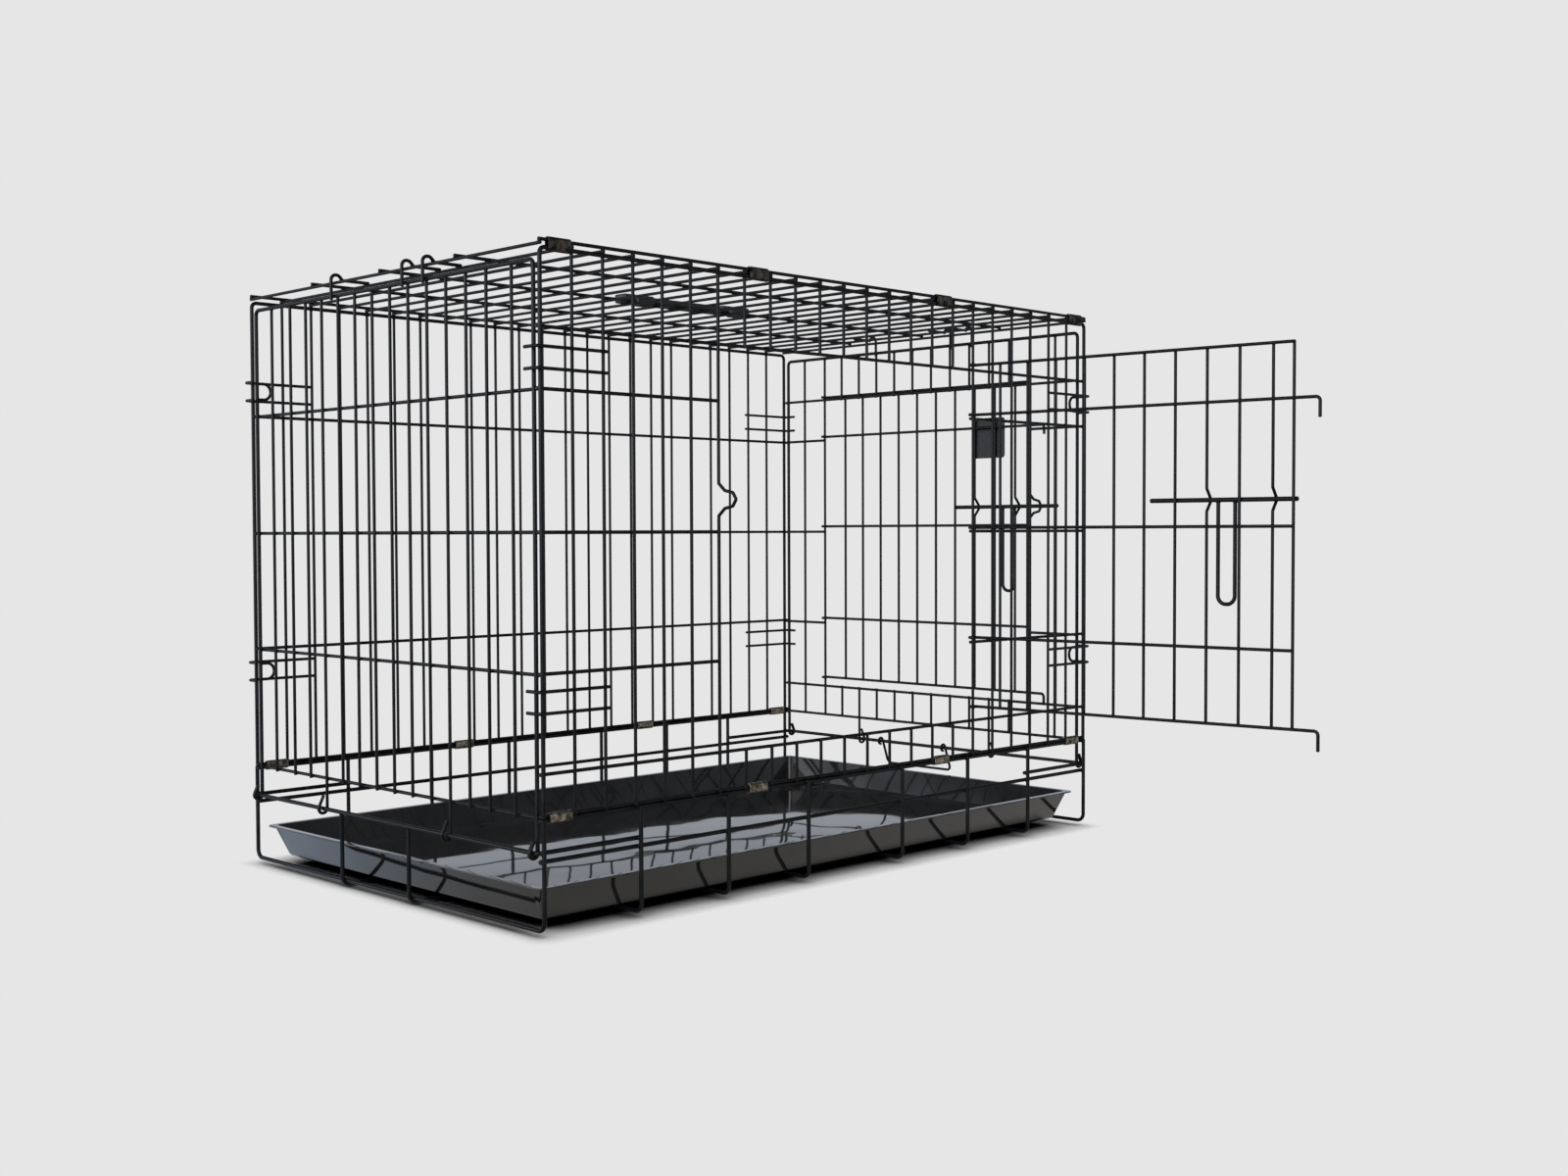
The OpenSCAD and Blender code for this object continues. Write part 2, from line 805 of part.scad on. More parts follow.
module tray_solid(x, y, z0, z1, corner) {
  hull() {
    translate([0, 0, z0])
      linear_extrude(height = touch)
        rounded(x - 2 * tray_lean, y - 2 * tray_lean, corner);
    translate([0, 0, z1 - touch])
      linear_extrude(height = touch)
        rounded(x, y, corner);
  }
}

module tray() {
  x = tray_length - 2 * tray_lip;
  y = tray_width - 2 * tray_lip;
  w = 2 * tray_sheet;
  difference() {
    union() {
      tray_solid(x, y, tray_z, tray_rim_z, tray_corner);
      translate([0, 0, tray_rim_z - tray_lip_sheet])
        linear_extrude(height = tray_lip_sheet)
          rounded(tray_length, tray_width, tray_rim_corner);
    }
    tray_solid(x - w, y - w, tray_z + tray_sheet, tray_rim_z + tray_sheet, tray_corner - tray_sheet);
  }
}

// The stop hangs from the right end wire in front of the tray and swings up to let it out.
module tray_stop() {
  translate([hinge_x, 0, end_wire_z])
    rotate([0, -stop_lean, 0]) {
      bent_wire([[stop_eye_r, stop_near_y, 0],
                 [stop_eye_r, stop_near_y, -stop_leg],
                 [stop_eye_r, stop_far_y, -stop_leg],
                 [stop_eye_r, stop_far_y, 0]], bar_d, stop_bend);
      for (y = [stop_near_y, stop_far_y])
        frame([1, 0, 0], [0, 0, 1], [0, -1, 0], [0, y, 0])
          eye(stop_eye_r, bar_d);
    }
}

color(wire_black) base_cross_wires();
color(wire_black) base_rails(base_rail_z);  // base_top_rails
color(wire_black) base_rails(base_mid_z);  // base_mid_rails
color(wire_black) base_end_wires();
color(wire_black) floor_runners();
color(wire_black) side_frame();  // near_frame
color(wire_black) near_bars();
color(wire_black) near_rails();
color(wire_black) side_catches();  // near_catches
color(wire_black) side_bolt_keeper();
color(wire_black) far_side() side_frame();  // far_frame
color(wire_black) far_side() far_bars();
color(wire_black) far_side() far_rails();
color(wire_black) far_side() side_catches();  // far_catches
color(clip_zinc) lower_clips();  // near_lower_clips
color(clip_zinc) near_upper_clips();
color(clip_zinc) far_side() lower_clips();  // far_lower_clips
color(wire_black) top_cross_wires();
color(wire_black) top_long_wires();
color(wire_black) top_hooks();
color(plate_black) carry_handle();
color(wire_black) end_frame();  // left_end_frame
color(wire_black) left_end_bars();
color(wire_black) left_end_rails();
color(wire_black) catch_loops();  // left_end_loops
color(wire_black) right_side() end_frame();  // right_end_frame
color(wire_black) right_side() right_end_bars();
color(wire_black) right_side() right_end_rails();
color(wire_black) right_side() catch_loops();  // right_end_loops
color(wire_black) right_side() front_bolt_keeper();
color(wire_black) on_front_door() front_door_rails();
color(wire_black)  // front_door_bars
    on_front_door()
      door_plain_bars(front_door_pitch, front_door_pitch, front_edge,
                      front_door_foot_z - rail_d / 2, front_door_top_z + rail_d / 2);
color(wire_black)  // front_door_guides
    on_front_door()
      door_guides(front_door_pitch, front_door_pitch,
                  front_door_foot_z - rail_d / 2, front_door_top_z + rail_d / 2);
color(plate_black) on_front_door() front_plate();  // front_door_plate
color(wire_black) on_front_door() bolt(front_bolt_tip);  // front_bolt
color(wire_black)  // front_bolt_handle
    on_front_door()
      bolt_handle(front_bolt_tip);
color(wire_black) on_side_door() side_door_rails();
color(wire_black)  // side_door_bars
    on_side_door()
      door_plain_bars(side_door_first, side_pitch, side_edge,
                      side_door_foot_z - rail_d / 2, side_door_top_z + rail_d / 2);
color(wire_black)  // side_door_guides
    on_side_door()
      door_guides(side_door_first, side_pitch,
                  side_door_foot_z - rail_d / 2, side_door_top_z + rail_d / 2);
color(wire_black) on_side_door() bolt(side_bolt_tip);  // side_bolt
color(wire_black) on_side_door() bolt_handle(side_bolt_tip);  // side_bolt_handle
color(tray_grey) tray();
color(wire_black) tray_stop();
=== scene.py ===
# %% [markdown]
# # A folding wire pet crate
# The crate is made of round steel wire, welded where it crosses and coated black.
# The CAD model gives every wire its place, length and thickness. Its mesh is coarse, with six or
# eight flat sides to a wire, so each wire is drawn again here as a smooth round tube.
# Nothing is measured twice: every tube starts from the box of the CAD wire that it stands for.

import json
import math

import bpy
import numpy as np
from mathutils import Matrix, Vector


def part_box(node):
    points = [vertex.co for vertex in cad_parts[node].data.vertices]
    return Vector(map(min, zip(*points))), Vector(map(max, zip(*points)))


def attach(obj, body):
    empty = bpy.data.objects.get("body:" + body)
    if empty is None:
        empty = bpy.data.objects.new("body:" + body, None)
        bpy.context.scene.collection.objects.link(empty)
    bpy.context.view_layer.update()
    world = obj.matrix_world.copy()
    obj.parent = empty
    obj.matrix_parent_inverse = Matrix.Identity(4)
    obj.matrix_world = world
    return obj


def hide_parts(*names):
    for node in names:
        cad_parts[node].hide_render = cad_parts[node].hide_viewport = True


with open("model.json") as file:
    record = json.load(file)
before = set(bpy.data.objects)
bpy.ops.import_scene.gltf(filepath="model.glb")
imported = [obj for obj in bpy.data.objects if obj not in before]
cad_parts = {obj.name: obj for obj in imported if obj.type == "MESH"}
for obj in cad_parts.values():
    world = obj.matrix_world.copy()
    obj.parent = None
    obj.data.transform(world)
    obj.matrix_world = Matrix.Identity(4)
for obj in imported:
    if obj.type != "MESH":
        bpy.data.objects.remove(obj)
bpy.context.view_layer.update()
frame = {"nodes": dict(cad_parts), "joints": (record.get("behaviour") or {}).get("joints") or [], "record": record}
MM = 0.001
BODY_OF = {n: body for body, names in frame["record"]["behaviour"]["bodies"].items() for n in names}
JOINT = {joint["name"]: joint for joint in frame["joints"]}

# %% [markdown]
# ## Finding the wires of a CAD node
# One CAD node holds many wires, such as all the uprights of a side. They don't share a vertex,
# so the mesh falls apart into islands, one for each wire. Blender can split a mesh into loose
# parts with an operator, but that would change the CAD object, so the islands are found with a
# short walk over the edges instead.


# %% Islands of a mesh
MICRON = 6  # decimals of a metre that are kept when corners are compared
PLACE_DIGITS = 4  # and when the wires are put in order


def islands(node):
    """The wires of a CAD node, each as an array of its corner points, in a fixed order."""
    mesh = frame["nodes"][node].data
    points = np.array([v.co for v in mesh.vertices]).round(MICRON)
    corners, where = np.unique(points, axis=0, return_inverse=True)
    where = where.ravel()
    leader = list(range(len(corners)))

    def lead(i):
        while leader[i] != i:
            i = leader[i]
        return i

    for edge in mesh.edges:
        a, b = sorted((lead(where[edge.vertices[0]]), lead(where[edge.vertices[1]])))
        leader[b] = a
    leaders = np.array([lead(i) for i in range(len(corners))])
    found = [corners[leaders == k] for k in np.unique(leaders)]
    return sorted(found, key=lambda wire: tuple(wire.mean(axis=0).round(PLACE_DIGITS)))


print("uprights of the near side:", len(islands("near_bars")))

# %% [markdown]
# ## Paths
# A bent wire is a line of corners, each rounded with the bend that the wire was formed to.
# The corners are written as three signs, one for each axis, and read against the wire's box:
# - and + lie on the wire's own centre line just inside the box, L and H are the cut ends right
# at its low and high side, and 0 is the middle. A staple with its legs up is 0-H 0-- 0+- 0+H.


# %% Corners from a box
def thickness(wire):
    """The radius of a wire from the smallest side of its box."""
    return float((wire.max(axis=0) - wire.min(axis=0)).min()) / 2


def corners_of(wire, signs, radius):
    low, high = wire.min(axis=0), wire.max(axis=0)
    places = {"-": low + radius, "+": high - radius, "L": low, "H": high, "0": (low + high) / 2}
    return [np.array([places[s][axis] for axis, s in enumerate(word)]) for word in signs.split()]


print("radius of an upright in mm:", round(thickness(islands("near_bars")[0]) / MM, 2))

# %% Rounded corners and arcs
ARC_STEP = math.radians(9)


def arc(centre, start, towards, angle):
    """Points of an arc that begins at centre + start and turns towards the second direction."""
    start, towards = np.array(start, float), np.array(towards, float)
    towards = towards / np.linalg.norm(towards) * np.linalg.norm(start)
    steps = max(2, round(angle / ARC_STEP))
    turns = [angle * i / steps for i in range(steps + 1)]
    return [np.array(centre) + start * math.cos(t) + towards * math.sin(t) for t in turns]


def rounded(corners, bends):
    """The corners as one path, with a bend at each inner corner: one radius, or one for each."""
    path = [corners[0]]
    if isinstance(bends, (int, float)):
        bends = [bends] * (len(corners) - 2)
    for before, here, after, bend in zip(corners, corners[1:], corners[2:], bends):
        u = (here - before) / np.linalg.norm(here - before)
        v = (after - here) / np.linalg.norm(after - here)
        angle = math.acos(np.clip(u @ v, -1, 1))
        inward = (v - (u @ v) * u) / np.linalg.norm(v - (u @ v) * u)
        tangent = here - u * bend * math.tan(angle / 2)
        path += arc(tangent + inward * bend, -inward * bend, u, angle)
    return path + [corners[-1]]


# %% [markdown]
# ## A round wire
# Blender can give a curve a round bevel, which is quick, but its ends are open or flat and its
# mesh only exists when it is evaluated. Here the tube is a mesh: a ring of points is carried
# along the path without twisting. The ends are cut wire, so the last ring is drawn in a little.

# %% Sweep a circle along a path
WIRE_SIDES = 16
CUT_EDGE = 0.3  # share of the radius that a cut end is rounded off
SHORTEST_STRETCH = 6 * MM  # shorter ones are steps of a bend
SAME_POINT = 0.0001 * MM


def sweep(path, radius):
    """Vertices, faces and straight stretches of a round wire along the path."""
    path = np.array(path, float)
    steps = np.linalg.norm(np.diff(path, axis=0), axis=1)
    path = path[np.append(True, steps > SAME_POINT)]
    first = path[1] - path[0]
    last = path[-1] - path[-2]
    inset = CUT_EDGE * radius
    path = np.vstack([
        path[:1], path[:1] + first / np.linalg.norm(first) * inset, path[1:-1],
        path[-1:] - last / np.linalg.norm(last) * inset, path[-1:],
    ])
    radii = np.full(len(path), radius)
    radii[0] = radii[-1] = radius * (1 - CUT_EDGE)
    legs = np.diff(path, axis=0)
    legs /= np.linalg.norm(legs, axis=1)[:, None]
    tangents = np.vstack([legs[:1], legs[1:] + legs[:-1], legs[-1:]])
    tangents /= np.linalg.norm(tangents, axis=1)[:, None]
    side = np.cross(tangents[0], np.eye(3)[np.argmin(np.abs(tangents[0]))])
    rings = []
    for centre, tangent, r in zip(path, tangents, radii):
        side = side - (side @ tangent) * tangent
        side /= np.linalg.norm(side)
        other = np.cross(tangent, side)
        turns = np.arange(WIRE_SIDES) * 2 * math.pi / WIRE_SIDES
        rings.append(centre + r * (np.outer(np.cos(turns), side) + np.outer(np.sin(turns), other)))
    turns_at = [0, *range(2, len(path) - 2), len(path) - 1]  # without the two rings near the ends
    stretches = [(path[i], path[j], radius) for i, j in zip(turns_at, turns_at[1:])
                 if np.linalg.norm(path[j] - path[i]) > SHORTEST_STRETCH]
    return np.vstack(rings), ring_faces(len(rings), WIRE_SIDES), stretches


def ring_faces(rings, sides):
    """Faces between rings of points, with a cap at each end."""
    faces = []
    for r in range(rings - 1):
        for s in range(sides):
            t = (s + 1) % sides
            faces.append((r * sides + s, r * sides + t, (r + 1) * sides + t, (r + 1) * sides + s))
    faces.append(tuple(reversed(range(sides))))
    faces.append(tuple((rings - 1) * sides + s for s in range(sides)))
    return faces


# %% Turn swept parts into a piece
SHARP = math.radians(40)


def piece(name, parts, node, finish, place=None, body=None):
    """One object made of several meshes. It stands for a CAD node, or only rides on a body."""
    points, faces = [], []
    for part_points, part_faces, *_ in parts:
        start = len(points)
        points += [tuple(p) for p in part_points]
        faces += [tuple(start + i for i in face) for face in part_faces]
    mesh = bpy.data.meshes.new(name)
    mesh.from_pydata(points, [], faces)
    if place is not None:
        mesh.transform(place)
    mesh.shade_smooth()
    mesh.set_sharp_from_angle(angle=SHARP)
    made = bpy.data.objects.new(name, mesh)
    bpy.context.scene.collection.objects.link(made)
    made.data.materials.append(finish)
    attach(made, body or BODY_OF[node])
    if node:
        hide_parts(node)
    return made


# %% [markdown]
# ## Materials
# Colours are read as sRGB hex values and turned to linear light, which is what the shader
# works in. Patterns are in object coordinates. The objects sit at the origin and are in metres,
# so a pattern of so many millimetres has a scale of one over that length in metres.


# %% Colour and node helpers
def linear(hex_colour):
    """An sRGB hex colour as linear red, green, blue and alpha."""
    parts = [int(hex_colour[i:i + 2], 16) / 255 for i in (1, 3, 5)]
    return [c / 12.92 if c <= 0.04045 else ((c + 0.055) / 1.055) ** 2.4 for c in parts] + [1.0]


def add(tree, kind, inputs=None, **settings):
    """Adds a shader node with its settings. An input is a value, or another node's output."""
    node = tree.nodes.new("ShaderNode" + kind)
    for key, value in settings.items():
        setattr(node, key, value)
    for socket, value in (inputs or {}).items():
        if isinstance(value, bpy.types.NodeSocket):
            tree.links.new(value, node.inputs[socket])
        else:
            node.inputs[socket].default_value = value
    return node


def per_mm(size):
    """Texture scale of a pattern whose features are so many millimetres apart."""
    return 1 / (size * MM)


def ramp(tree, factor, low, high, low_at=0.35, high_at=0.65):
    """Maps a noise value to a range, with the noise's weak middle drawn out."""
    return add(tree, "MapRange", {
        "Value": factor, "From Min": low_at, "From Max": high_at, "To Min": low, "To Max": high,
    }).outputs["Result"]


def two_tones(tree, noise, one, other):
    """The colour of a surface that wanders between two tones with a noise."""
    share = ramp(tree, noise.outputs["Fac"], 0, 1)
    return add(tree, "Mix", {"Factor": share, "A": linear(one), "B": linear(other)},
               data_type="RGBA").outputs["Result"]


def new_material(name):
    made = bpy.data.materials.new(name)
    made.use_nodes = True
    made.node_tree.nodes.clear()
    return made, made.node_tree


# %% [markdown]
# ### Electro-coated steel wire
# The welded panels are dipped and a black epoxy is drawn onto them by electric current, then
# baked. The coat is thin and even, so the eye sees a near-black wire with a narrow pale line
# of gloss along it. Handling leaves it a little duller in places. A metal shader would be
# wrong, because what shows is the epoxy and not the steel: IOR 1.5, not metallic.

# %% Black electro-coat
COAT_BLACK = "#08080A"
COAT_WORN = "#131417"


def electro_coated_steel():
    finish, tree = new_material("electro-coated steel wire, black")
    where = add(tree, "TexCoord").outputs["Object"]
    patches = add(tree, "TexNoise", {"Vector": where, "Scale": per_mm(18), "Detail": 3})
    peel = add(tree, "TexNoise", {"Vector": where, "Scale": per_mm(1.6), "Detail": 2})
    colour = two_tones(tree, patches, COAT_BLACK, COAT_WORN)
    dents = add(tree, "Bump", {"Height": peel.outputs["Fac"], "Distance": 0.03 * MM,
                               "Strength": 0.5})
    shader = add(tree, "BsdfPrincipled", {
        "Base Color": colour,
        "Roughness": ramp(tree, patches.outputs["Fac"], 0.27, 0.4),
        "IOR": 1.5, "Specular IOR Level": 0.22, "Normal": dents.outputs["Normal"],
    })
    add(tree, "OutputMaterial", {"Surface": shader.outputs["BSDF"]})
    return finish


COAT = electro_coated_steel()
print("material:", COAT.name)

# %% [markdown]
# ## The base
# Eight staple-shaped wires make the floor and the low walls. Rails lie along their tips and
# halfway up, one strong wire goes round each end, and two runners lie on the floor for the
# tray to slide on. Each is one bent wire, so each is one path.

# %% Bent wires of the base
BASE_BEND = 8 * MM
RUNNER_BEND = 8 * MM
END_CORNER = 3 * MM


def straight(wire):
    """A straight wire: the middle of one end ring to the middle of the other."""
    along = np.linalg.svd(wire - wire.mean(axis=0), full_matrices=False)[2][0]
    reach = (wire - wire.mean(axis=0)) @ along
    ends = [wire[reach < reach.min() + MM], wire[reach > reach.max() - MM]]
    a, b = (end.mean(axis=0) for end in ends)
    axis = (b - a) / np.linalg.norm(b - a)
    from_axis = (wire - a) - np.outer((wire - a) @ axis, axis)
    return sweep([a, b], float(np.linalg.norm(from_axis, axis=1).max()))


def bent(wire, signs, bend, radius=None):
    radius = radius or thickness(wire)
    return sweep(rounded(corners_of(wire, signs, radius), bend), radius)


def by_side(wire, left, right):
    """The signs for a wire at the left or the right of the crate."""
    return left if wire[:, 0].mean() < 0 else right


STRETCHES = {body: [] for body in frame["record"]["behaviour"]["bodies"]}


def wire_piece(node, parts, place=None):
    """A piece of wires. Their straight stretches are kept for the welds."""
    place_of = np.array(place if place is not None else Matrix.Identity(4))
    turn, shift = place_of[:3, :3], place_of[:3, 3]
    for _, _, stretches in parts:
        STRETCHES[BODY_OF[node]] += [(turn @ a + shift, turn @ b + shift, radius)
                                     for a, b, radius in stretches]
    return piece(node + "_wire", parts, node, COAT, place)


base_radius = max(thickness(w) for w in islands("base_end_wires"))
wire_piece("base_cross_wires", [bent(w, "0-H 0-- 0+- 0+H", BASE_BEND, base_radius)
                                for w in islands("base_cross_wires")])
wire_piece("base_end_wires", [
    bent(w, by_side(w, "H-0 --0 -+0 H+0", "L-0 +-0 ++0 L+0"), END_CORNER, base_radius)
    for w in islands("base_end_wires")])
wire_piece("floor_runners", [bent(w, "H0- -0- -0H", RUNNER_BEND, base_radius)
                             for w in islands("floor_runners")])
print("base wire radius in mm:", round(base_radius / MM, 2))

# %% [markdown]
# ## Straight wires
# Most of the crate is straight wire. Every node that holds only straight wires goes through
# one loop.

# %% All the straight wires
STRAIGHT_NODES = [
    "base_top_rails", "base_mid_rails", "near_bars", "near_rails", "far_bars", "far_rails",
    "top_cross_wires", "top_long_wires", "left_end_rails", "right_end_rails",
    "front_door_bars", "side_door_bars",
]
for node in STRAIGHT_NODES:
    wire_piece(node, [straight(w) for w in islands(node)])
print("straight wires:", sum(len(islands(node)) for node in STRAIGHT_NODES))

# %% [markdown]
# ## Frames and catches of the long sides
# The outline of each long side is one strong wire, bent down at both corners. The catches are
# short hooks: two above each other, twice at each corner. Their tips turn in round the end
# panel's post.

# %% Frames and catches
FRAME_BEND = 5 * MM
CATCH_BEND = 4 * MM
CATCH_SHORTER = 3.5 * MM


def catch(wire, left, right):
    """A catch wire, its turned tip a little nearer to the post than the CAD's."""
    corners = corners_of(wire, by_side(wire, left, right), thickness(wire))
    for corner in corners[1:]:
        corner[0] -= math.copysign(CATCH_SHORTER, corner[0])
    return sweep(rounded(corners, CATCH_BEND), thickness(wire))


for node in ("near_frame", "far_frame"):
    wire_piece(node, [bent(w, "-0L -0+ +0+ +0L", FRAME_BEND) for w in islands(node)])
wire_piece("near_catches", [catch(w, "H-0 --0 -H0", "L-0 +-0 +H0")
                            for w in islands("near_catches")])
wire_piece("far_catches", [catch(w, "H+0 -+0 -L0", "L+0 ++0 +L0")
                           for w in islands("far_catches")])
print("catches on the near side:", len(islands("near_catches")))

# %% [markdown]
# ## Hooks over the end panels
# At each end three wires of the top rise over the last cross wire and come down outside the
# end panel, like a walking stick. They lie at the height of the long wires. The crook is a round
# arch, so its two upper bends nearly meet, and it is a little lower than the CAD's square one.

# %% Top hooks
HOOK_BENDS = [2.2 * MM, 5.2 * MM, 5.2 * MM]
CROOK_LOWER = 3 * MM
HOOK_RISE_IN = 10.9 * MM  # from the outer leg in to where the hook rises
long_low, long_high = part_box("top_long_wires")
long_wire_z = (long_low.z + long_high.z) / 2


def hook(wire):
    radius = thickness(wire)
    start, top, tip = corners_of(wire, by_side(wire, "H0+ -0+ -0L", "L0+ +0+ +0L"), radius)
    top[2] -= CROOK_LOWER
    inward = math.copysign(HOOK_RISE_IN, -top[0])
    foot = np.array([top[0] + inward, top[1], long_wire_z])
    rise = np.array([top[0] + inward, top[1], top[2]])
    start[2] = long_wire_z
    return sweep(rounded([start, foot, rise, top, tip], HOOK_BENDS), radius)


wire_piece("top_hooks", [hook(w) for w in islands("top_hooks")])
print("hooks:", len(islands("top_hooks")))

# %% [markdown]
# ## End panels
# The posts and two of the uprights end in open eyes that turn on the base's end wire. An eye
# is the same wire, bent under the end wire and up outside it, so it is drawn as one path with
# the post. The fold joint of the panel gives the centre of the eyes.

# %% Wires with eyes
EYE_TURN = math.radians(262)
HOOK_TURN = math.radians(205)
POST_TAIL = 9 * MM
BAR_TAIL = 12 * MM


def end_eye(x, y, hinge, tail):
    """Points of an eye from the post at x, under the hinge axis and up again, with its tail."""
    curl = arc([hinge[0], y, hinge[2]], [x - hinge[0], 0, 0], [0, 0, -1], HOOK_TURN)
    lean = math.copysign(math.sin(HOOK_TURN), hinge[0] - x)
    along = np.array([-lean, 0, -math.cos(HOOK_TURN)])
    return curl + [curl[-1] + along * tail]


def end_frame(wire, hinge, radius):
    signs = "+-L +-+ +++ ++L" if hinge[0] < 0 else "--L --+ -++ -+L"
    corners = corners_of(wire, signs, radius)
    for corner in (corners[0], corners[-1]):
        corner[2] = hinge[2]
    near, far = (end_eye(c[0], c[1], hinge, POST_TAIL) for c in (corners[0], corners[-1]))
    path = near[::-1] + rounded(corners, FRAME_BEND)[1:-1] + far
    return sweep(path, radius)


def end_bar(wire, hinge):
    """A straight upright, or one with an eye at its foot."""
    low, high = wire.min(axis=0), wire.max(axis=0)
    if high[0] - low[0] < high[1] - low[1] + MM:
        return straight(wire)
    radius = thickness(wire)
    x = high[0] - radius if hinge[0] < 0 else low[0] + radius
    y = (low[1] + high[1]) / 2
    return sweep([np.array([x, y, high[2]])] + end_eye(x, y, hinge, BAR_TAIL), radius)


LOOP_BEND = 7.8 * MM
LOOP_REACH = 13 * MM


def catch_loop(wire, side):
    """A round loop on the inside of the post, for the catch wires to snap over."""
    corners = corners_of(wire, by_side(wire, "L0- +0- +0+ L0+", "H0- -0- -0+ H0+"), BAR_RADIUS)
    for corner in corners[1:3]:
        corner[0] = corners[0][0] + (LOOP_REACH if side == "left" else -LOOP_REACH)
    return sweep(rounded(corners, LOOP_BEND), BAR_RADIUS)


# The far post of the left end and the near post of the right one have loops, so the panels latch
# at opposite corners.
LOOP_SIDE = {"left": 1, "right": -1}
BAR_RADIUS = thickness(islands("near_bars")[0])
FRAME_RADIUS = thickness(islands("near_frame")[0])
for side in ("left", "right"):
    hinge = JOINT[side + "_end_fold"]["pos_m"]
    node = side + "_end_frame"
    wire_piece(node, [end_frame(w, hinge, FRAME_RADIUS) for w in islands(node)])
    node = side + "_end_bars"
    wire_piece(node, [end_bar(w, hinge) for w in islands(node)])
    node = side + "_end_loops"
    wire_piece(node, [catch_loop(w, side) for w in islands(node)
                      if w[:, 1].mean() * LOOP_SIDE[side] > 0])
print("eyes turn round", [JOINT[s + "_end_fold"]["pos_m"] for s in ("left", "right")])

# %% [markdown]
# ## Keepers
# A keeper is an upright of the panel with a bulge for the bolt to go through. The CAD bulge has
# sharp kinks. The real wire is bent over a small mandrel, so here the same corners are
# rounded with a small bend.

# %% Keepers of the two bolts
KEEPER_OUT = [0, 8, 18.5, 22.7, 18.5, 8, 0]  # mm out from the upright
KEEPER_UP = [-14.6, -8, -6, 0, 6, 8, 14.6]  # mm up from the bolt
KEEPER_BEND = 1.6 * MM
bolt_low, bolt_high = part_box("front_bolt")
bolt_z = (bolt_low.z + bolt_high.z) / 2


def keeper(wire, out):
    """An upright with its bulge, out being the direction that the bulge points."""
    radius = thickness(wire)
    out = np.array(out, float)
    low, high = wire.min(axis=0), wire.max(axis=0)
    axis = wire[wire[:, 2] < low[2] + MM].mean(axis=0)
    bulge = [axis * [1, 1, 0] + out * o * MM + [0, 0, bolt_z + u * MM]
             for o, u in zip(KEEPER_OUT, KEEPER_UP)]
    ends = [np.array([axis[0], axis[1], z]) for z in (low[2], high[2])]
    return sweep(rounded([ends[0]] + bulge + [ends[1]], KEEPER_BEND), radius)


wire_piece("side_bolt_keeper", [keeper(w, [0, -1, 0]) for w in islands("side_bolt_keeper")])
wire_piece("front_bolt_keeper", [keeper(w, [1, 0, 0]) for w in islands("front_bolt_keeper")])
print("height of the bolts in mm:", round(bolt_z / MM, 1))

# %% [markdown]
# ## Doors
# A door is easiest to draw lying along its own x axis, with the hinge at the origin and its
# outer face towards y. The bolt slides along the door, so the bolt's slide axis gives the
# door's direction, and the swing joint gives the hinge. The same functions then draw the
# closed front door and the open side door.


# %% The place of each door
def door_place(swing, along):
    """A matrix from the door's own axes to the crate's."""
    x = Vector(along).normalized()
    y = Vector((0, 0, 1)).cross(x)
    place = Matrix((x, y, (0, 0, 1))).transposed().to_4x4()
    place.translation = Vector((JOINT[swing]["pos_m"][0], JOINT[swing]["pos_m"][1], 0))
    return place


PLACE = {
    "side": door_place("side_door_swing", JOINT["side_bolt_slide"]["axis"]),
    "front": door_place("front_door_swing", [-v for v in JOINT["front_bolt_slide"]["axis"]]),
}


def from_place(place, wire):
    """The corner points of a wire in the place's own axes."""
    back = np.array(place.inverted())
    return wire @ back[:3, :3].T + back[:3, 3]


def door_islands(door, node):
    return [from_place(PLACE[door], wire) for wire in islands(node)]


# %% Door rails, guides, bolts and handles
GUIDE_OUT = [0, 8.1, 8.1, 0]  # mm out from the bar
GUIDE_UP = [-11, -2, 2, 11]  # mm up from the bolt
GRIP_BEND = 8 * MM
GRIP_RADIUS = 1.9 * MM  # the handles are of a stronger wire than the bars
HOOK_DROP = 5 * MM  # a rail that is higher than this has a hook


def door_rail(wire):
    """A rail with its eye round the hinge bar and, on some, a hook at the free end."""
    low, high = wire.min(axis=0), wire.max(axis=0)
    z = high[2] - RAIL_RADIUS
    eye = high[1] - RAIL_RADIUS
    ring = arc([0, 0, z], [0, eye, 0], [-1, 0, 0], EYE_TURN)
    if high[2] - low[2] < HOOK_DROP:
        return sweep(ring[::-1] + [np.array([high[0], eye, z])], RAIL_RADIUS)
    tip = high[0] - RAIL_RADIUS
    corners = [np.array([0, eye, z]), np.array([tip, eye, z]), np.array([tip, eye, low[2]])]
    return sweep(ring[::-1] + rounded(corners, CATCH_BEND)[1:], RAIL_RADIUS)


def guide(wire):
    low, high = wire.min(axis=0), wire.max(axis=0)
    x = (low[0] + high[0]) / 2
    y = low[1] + BAR_RADIUS
    bulge = [np.array([x, y + o * MM, bolt_z + u * MM]) for o, u in zip(GUIDE_OUT, GUIDE_UP)]
    ends = [np.array([x, y, z]) for z in (low[2], high[2])]
    return sweep(rounded([ends[0]] + bulge + [ends[1]], KEEPER_BEND), BAR_RADIUS)


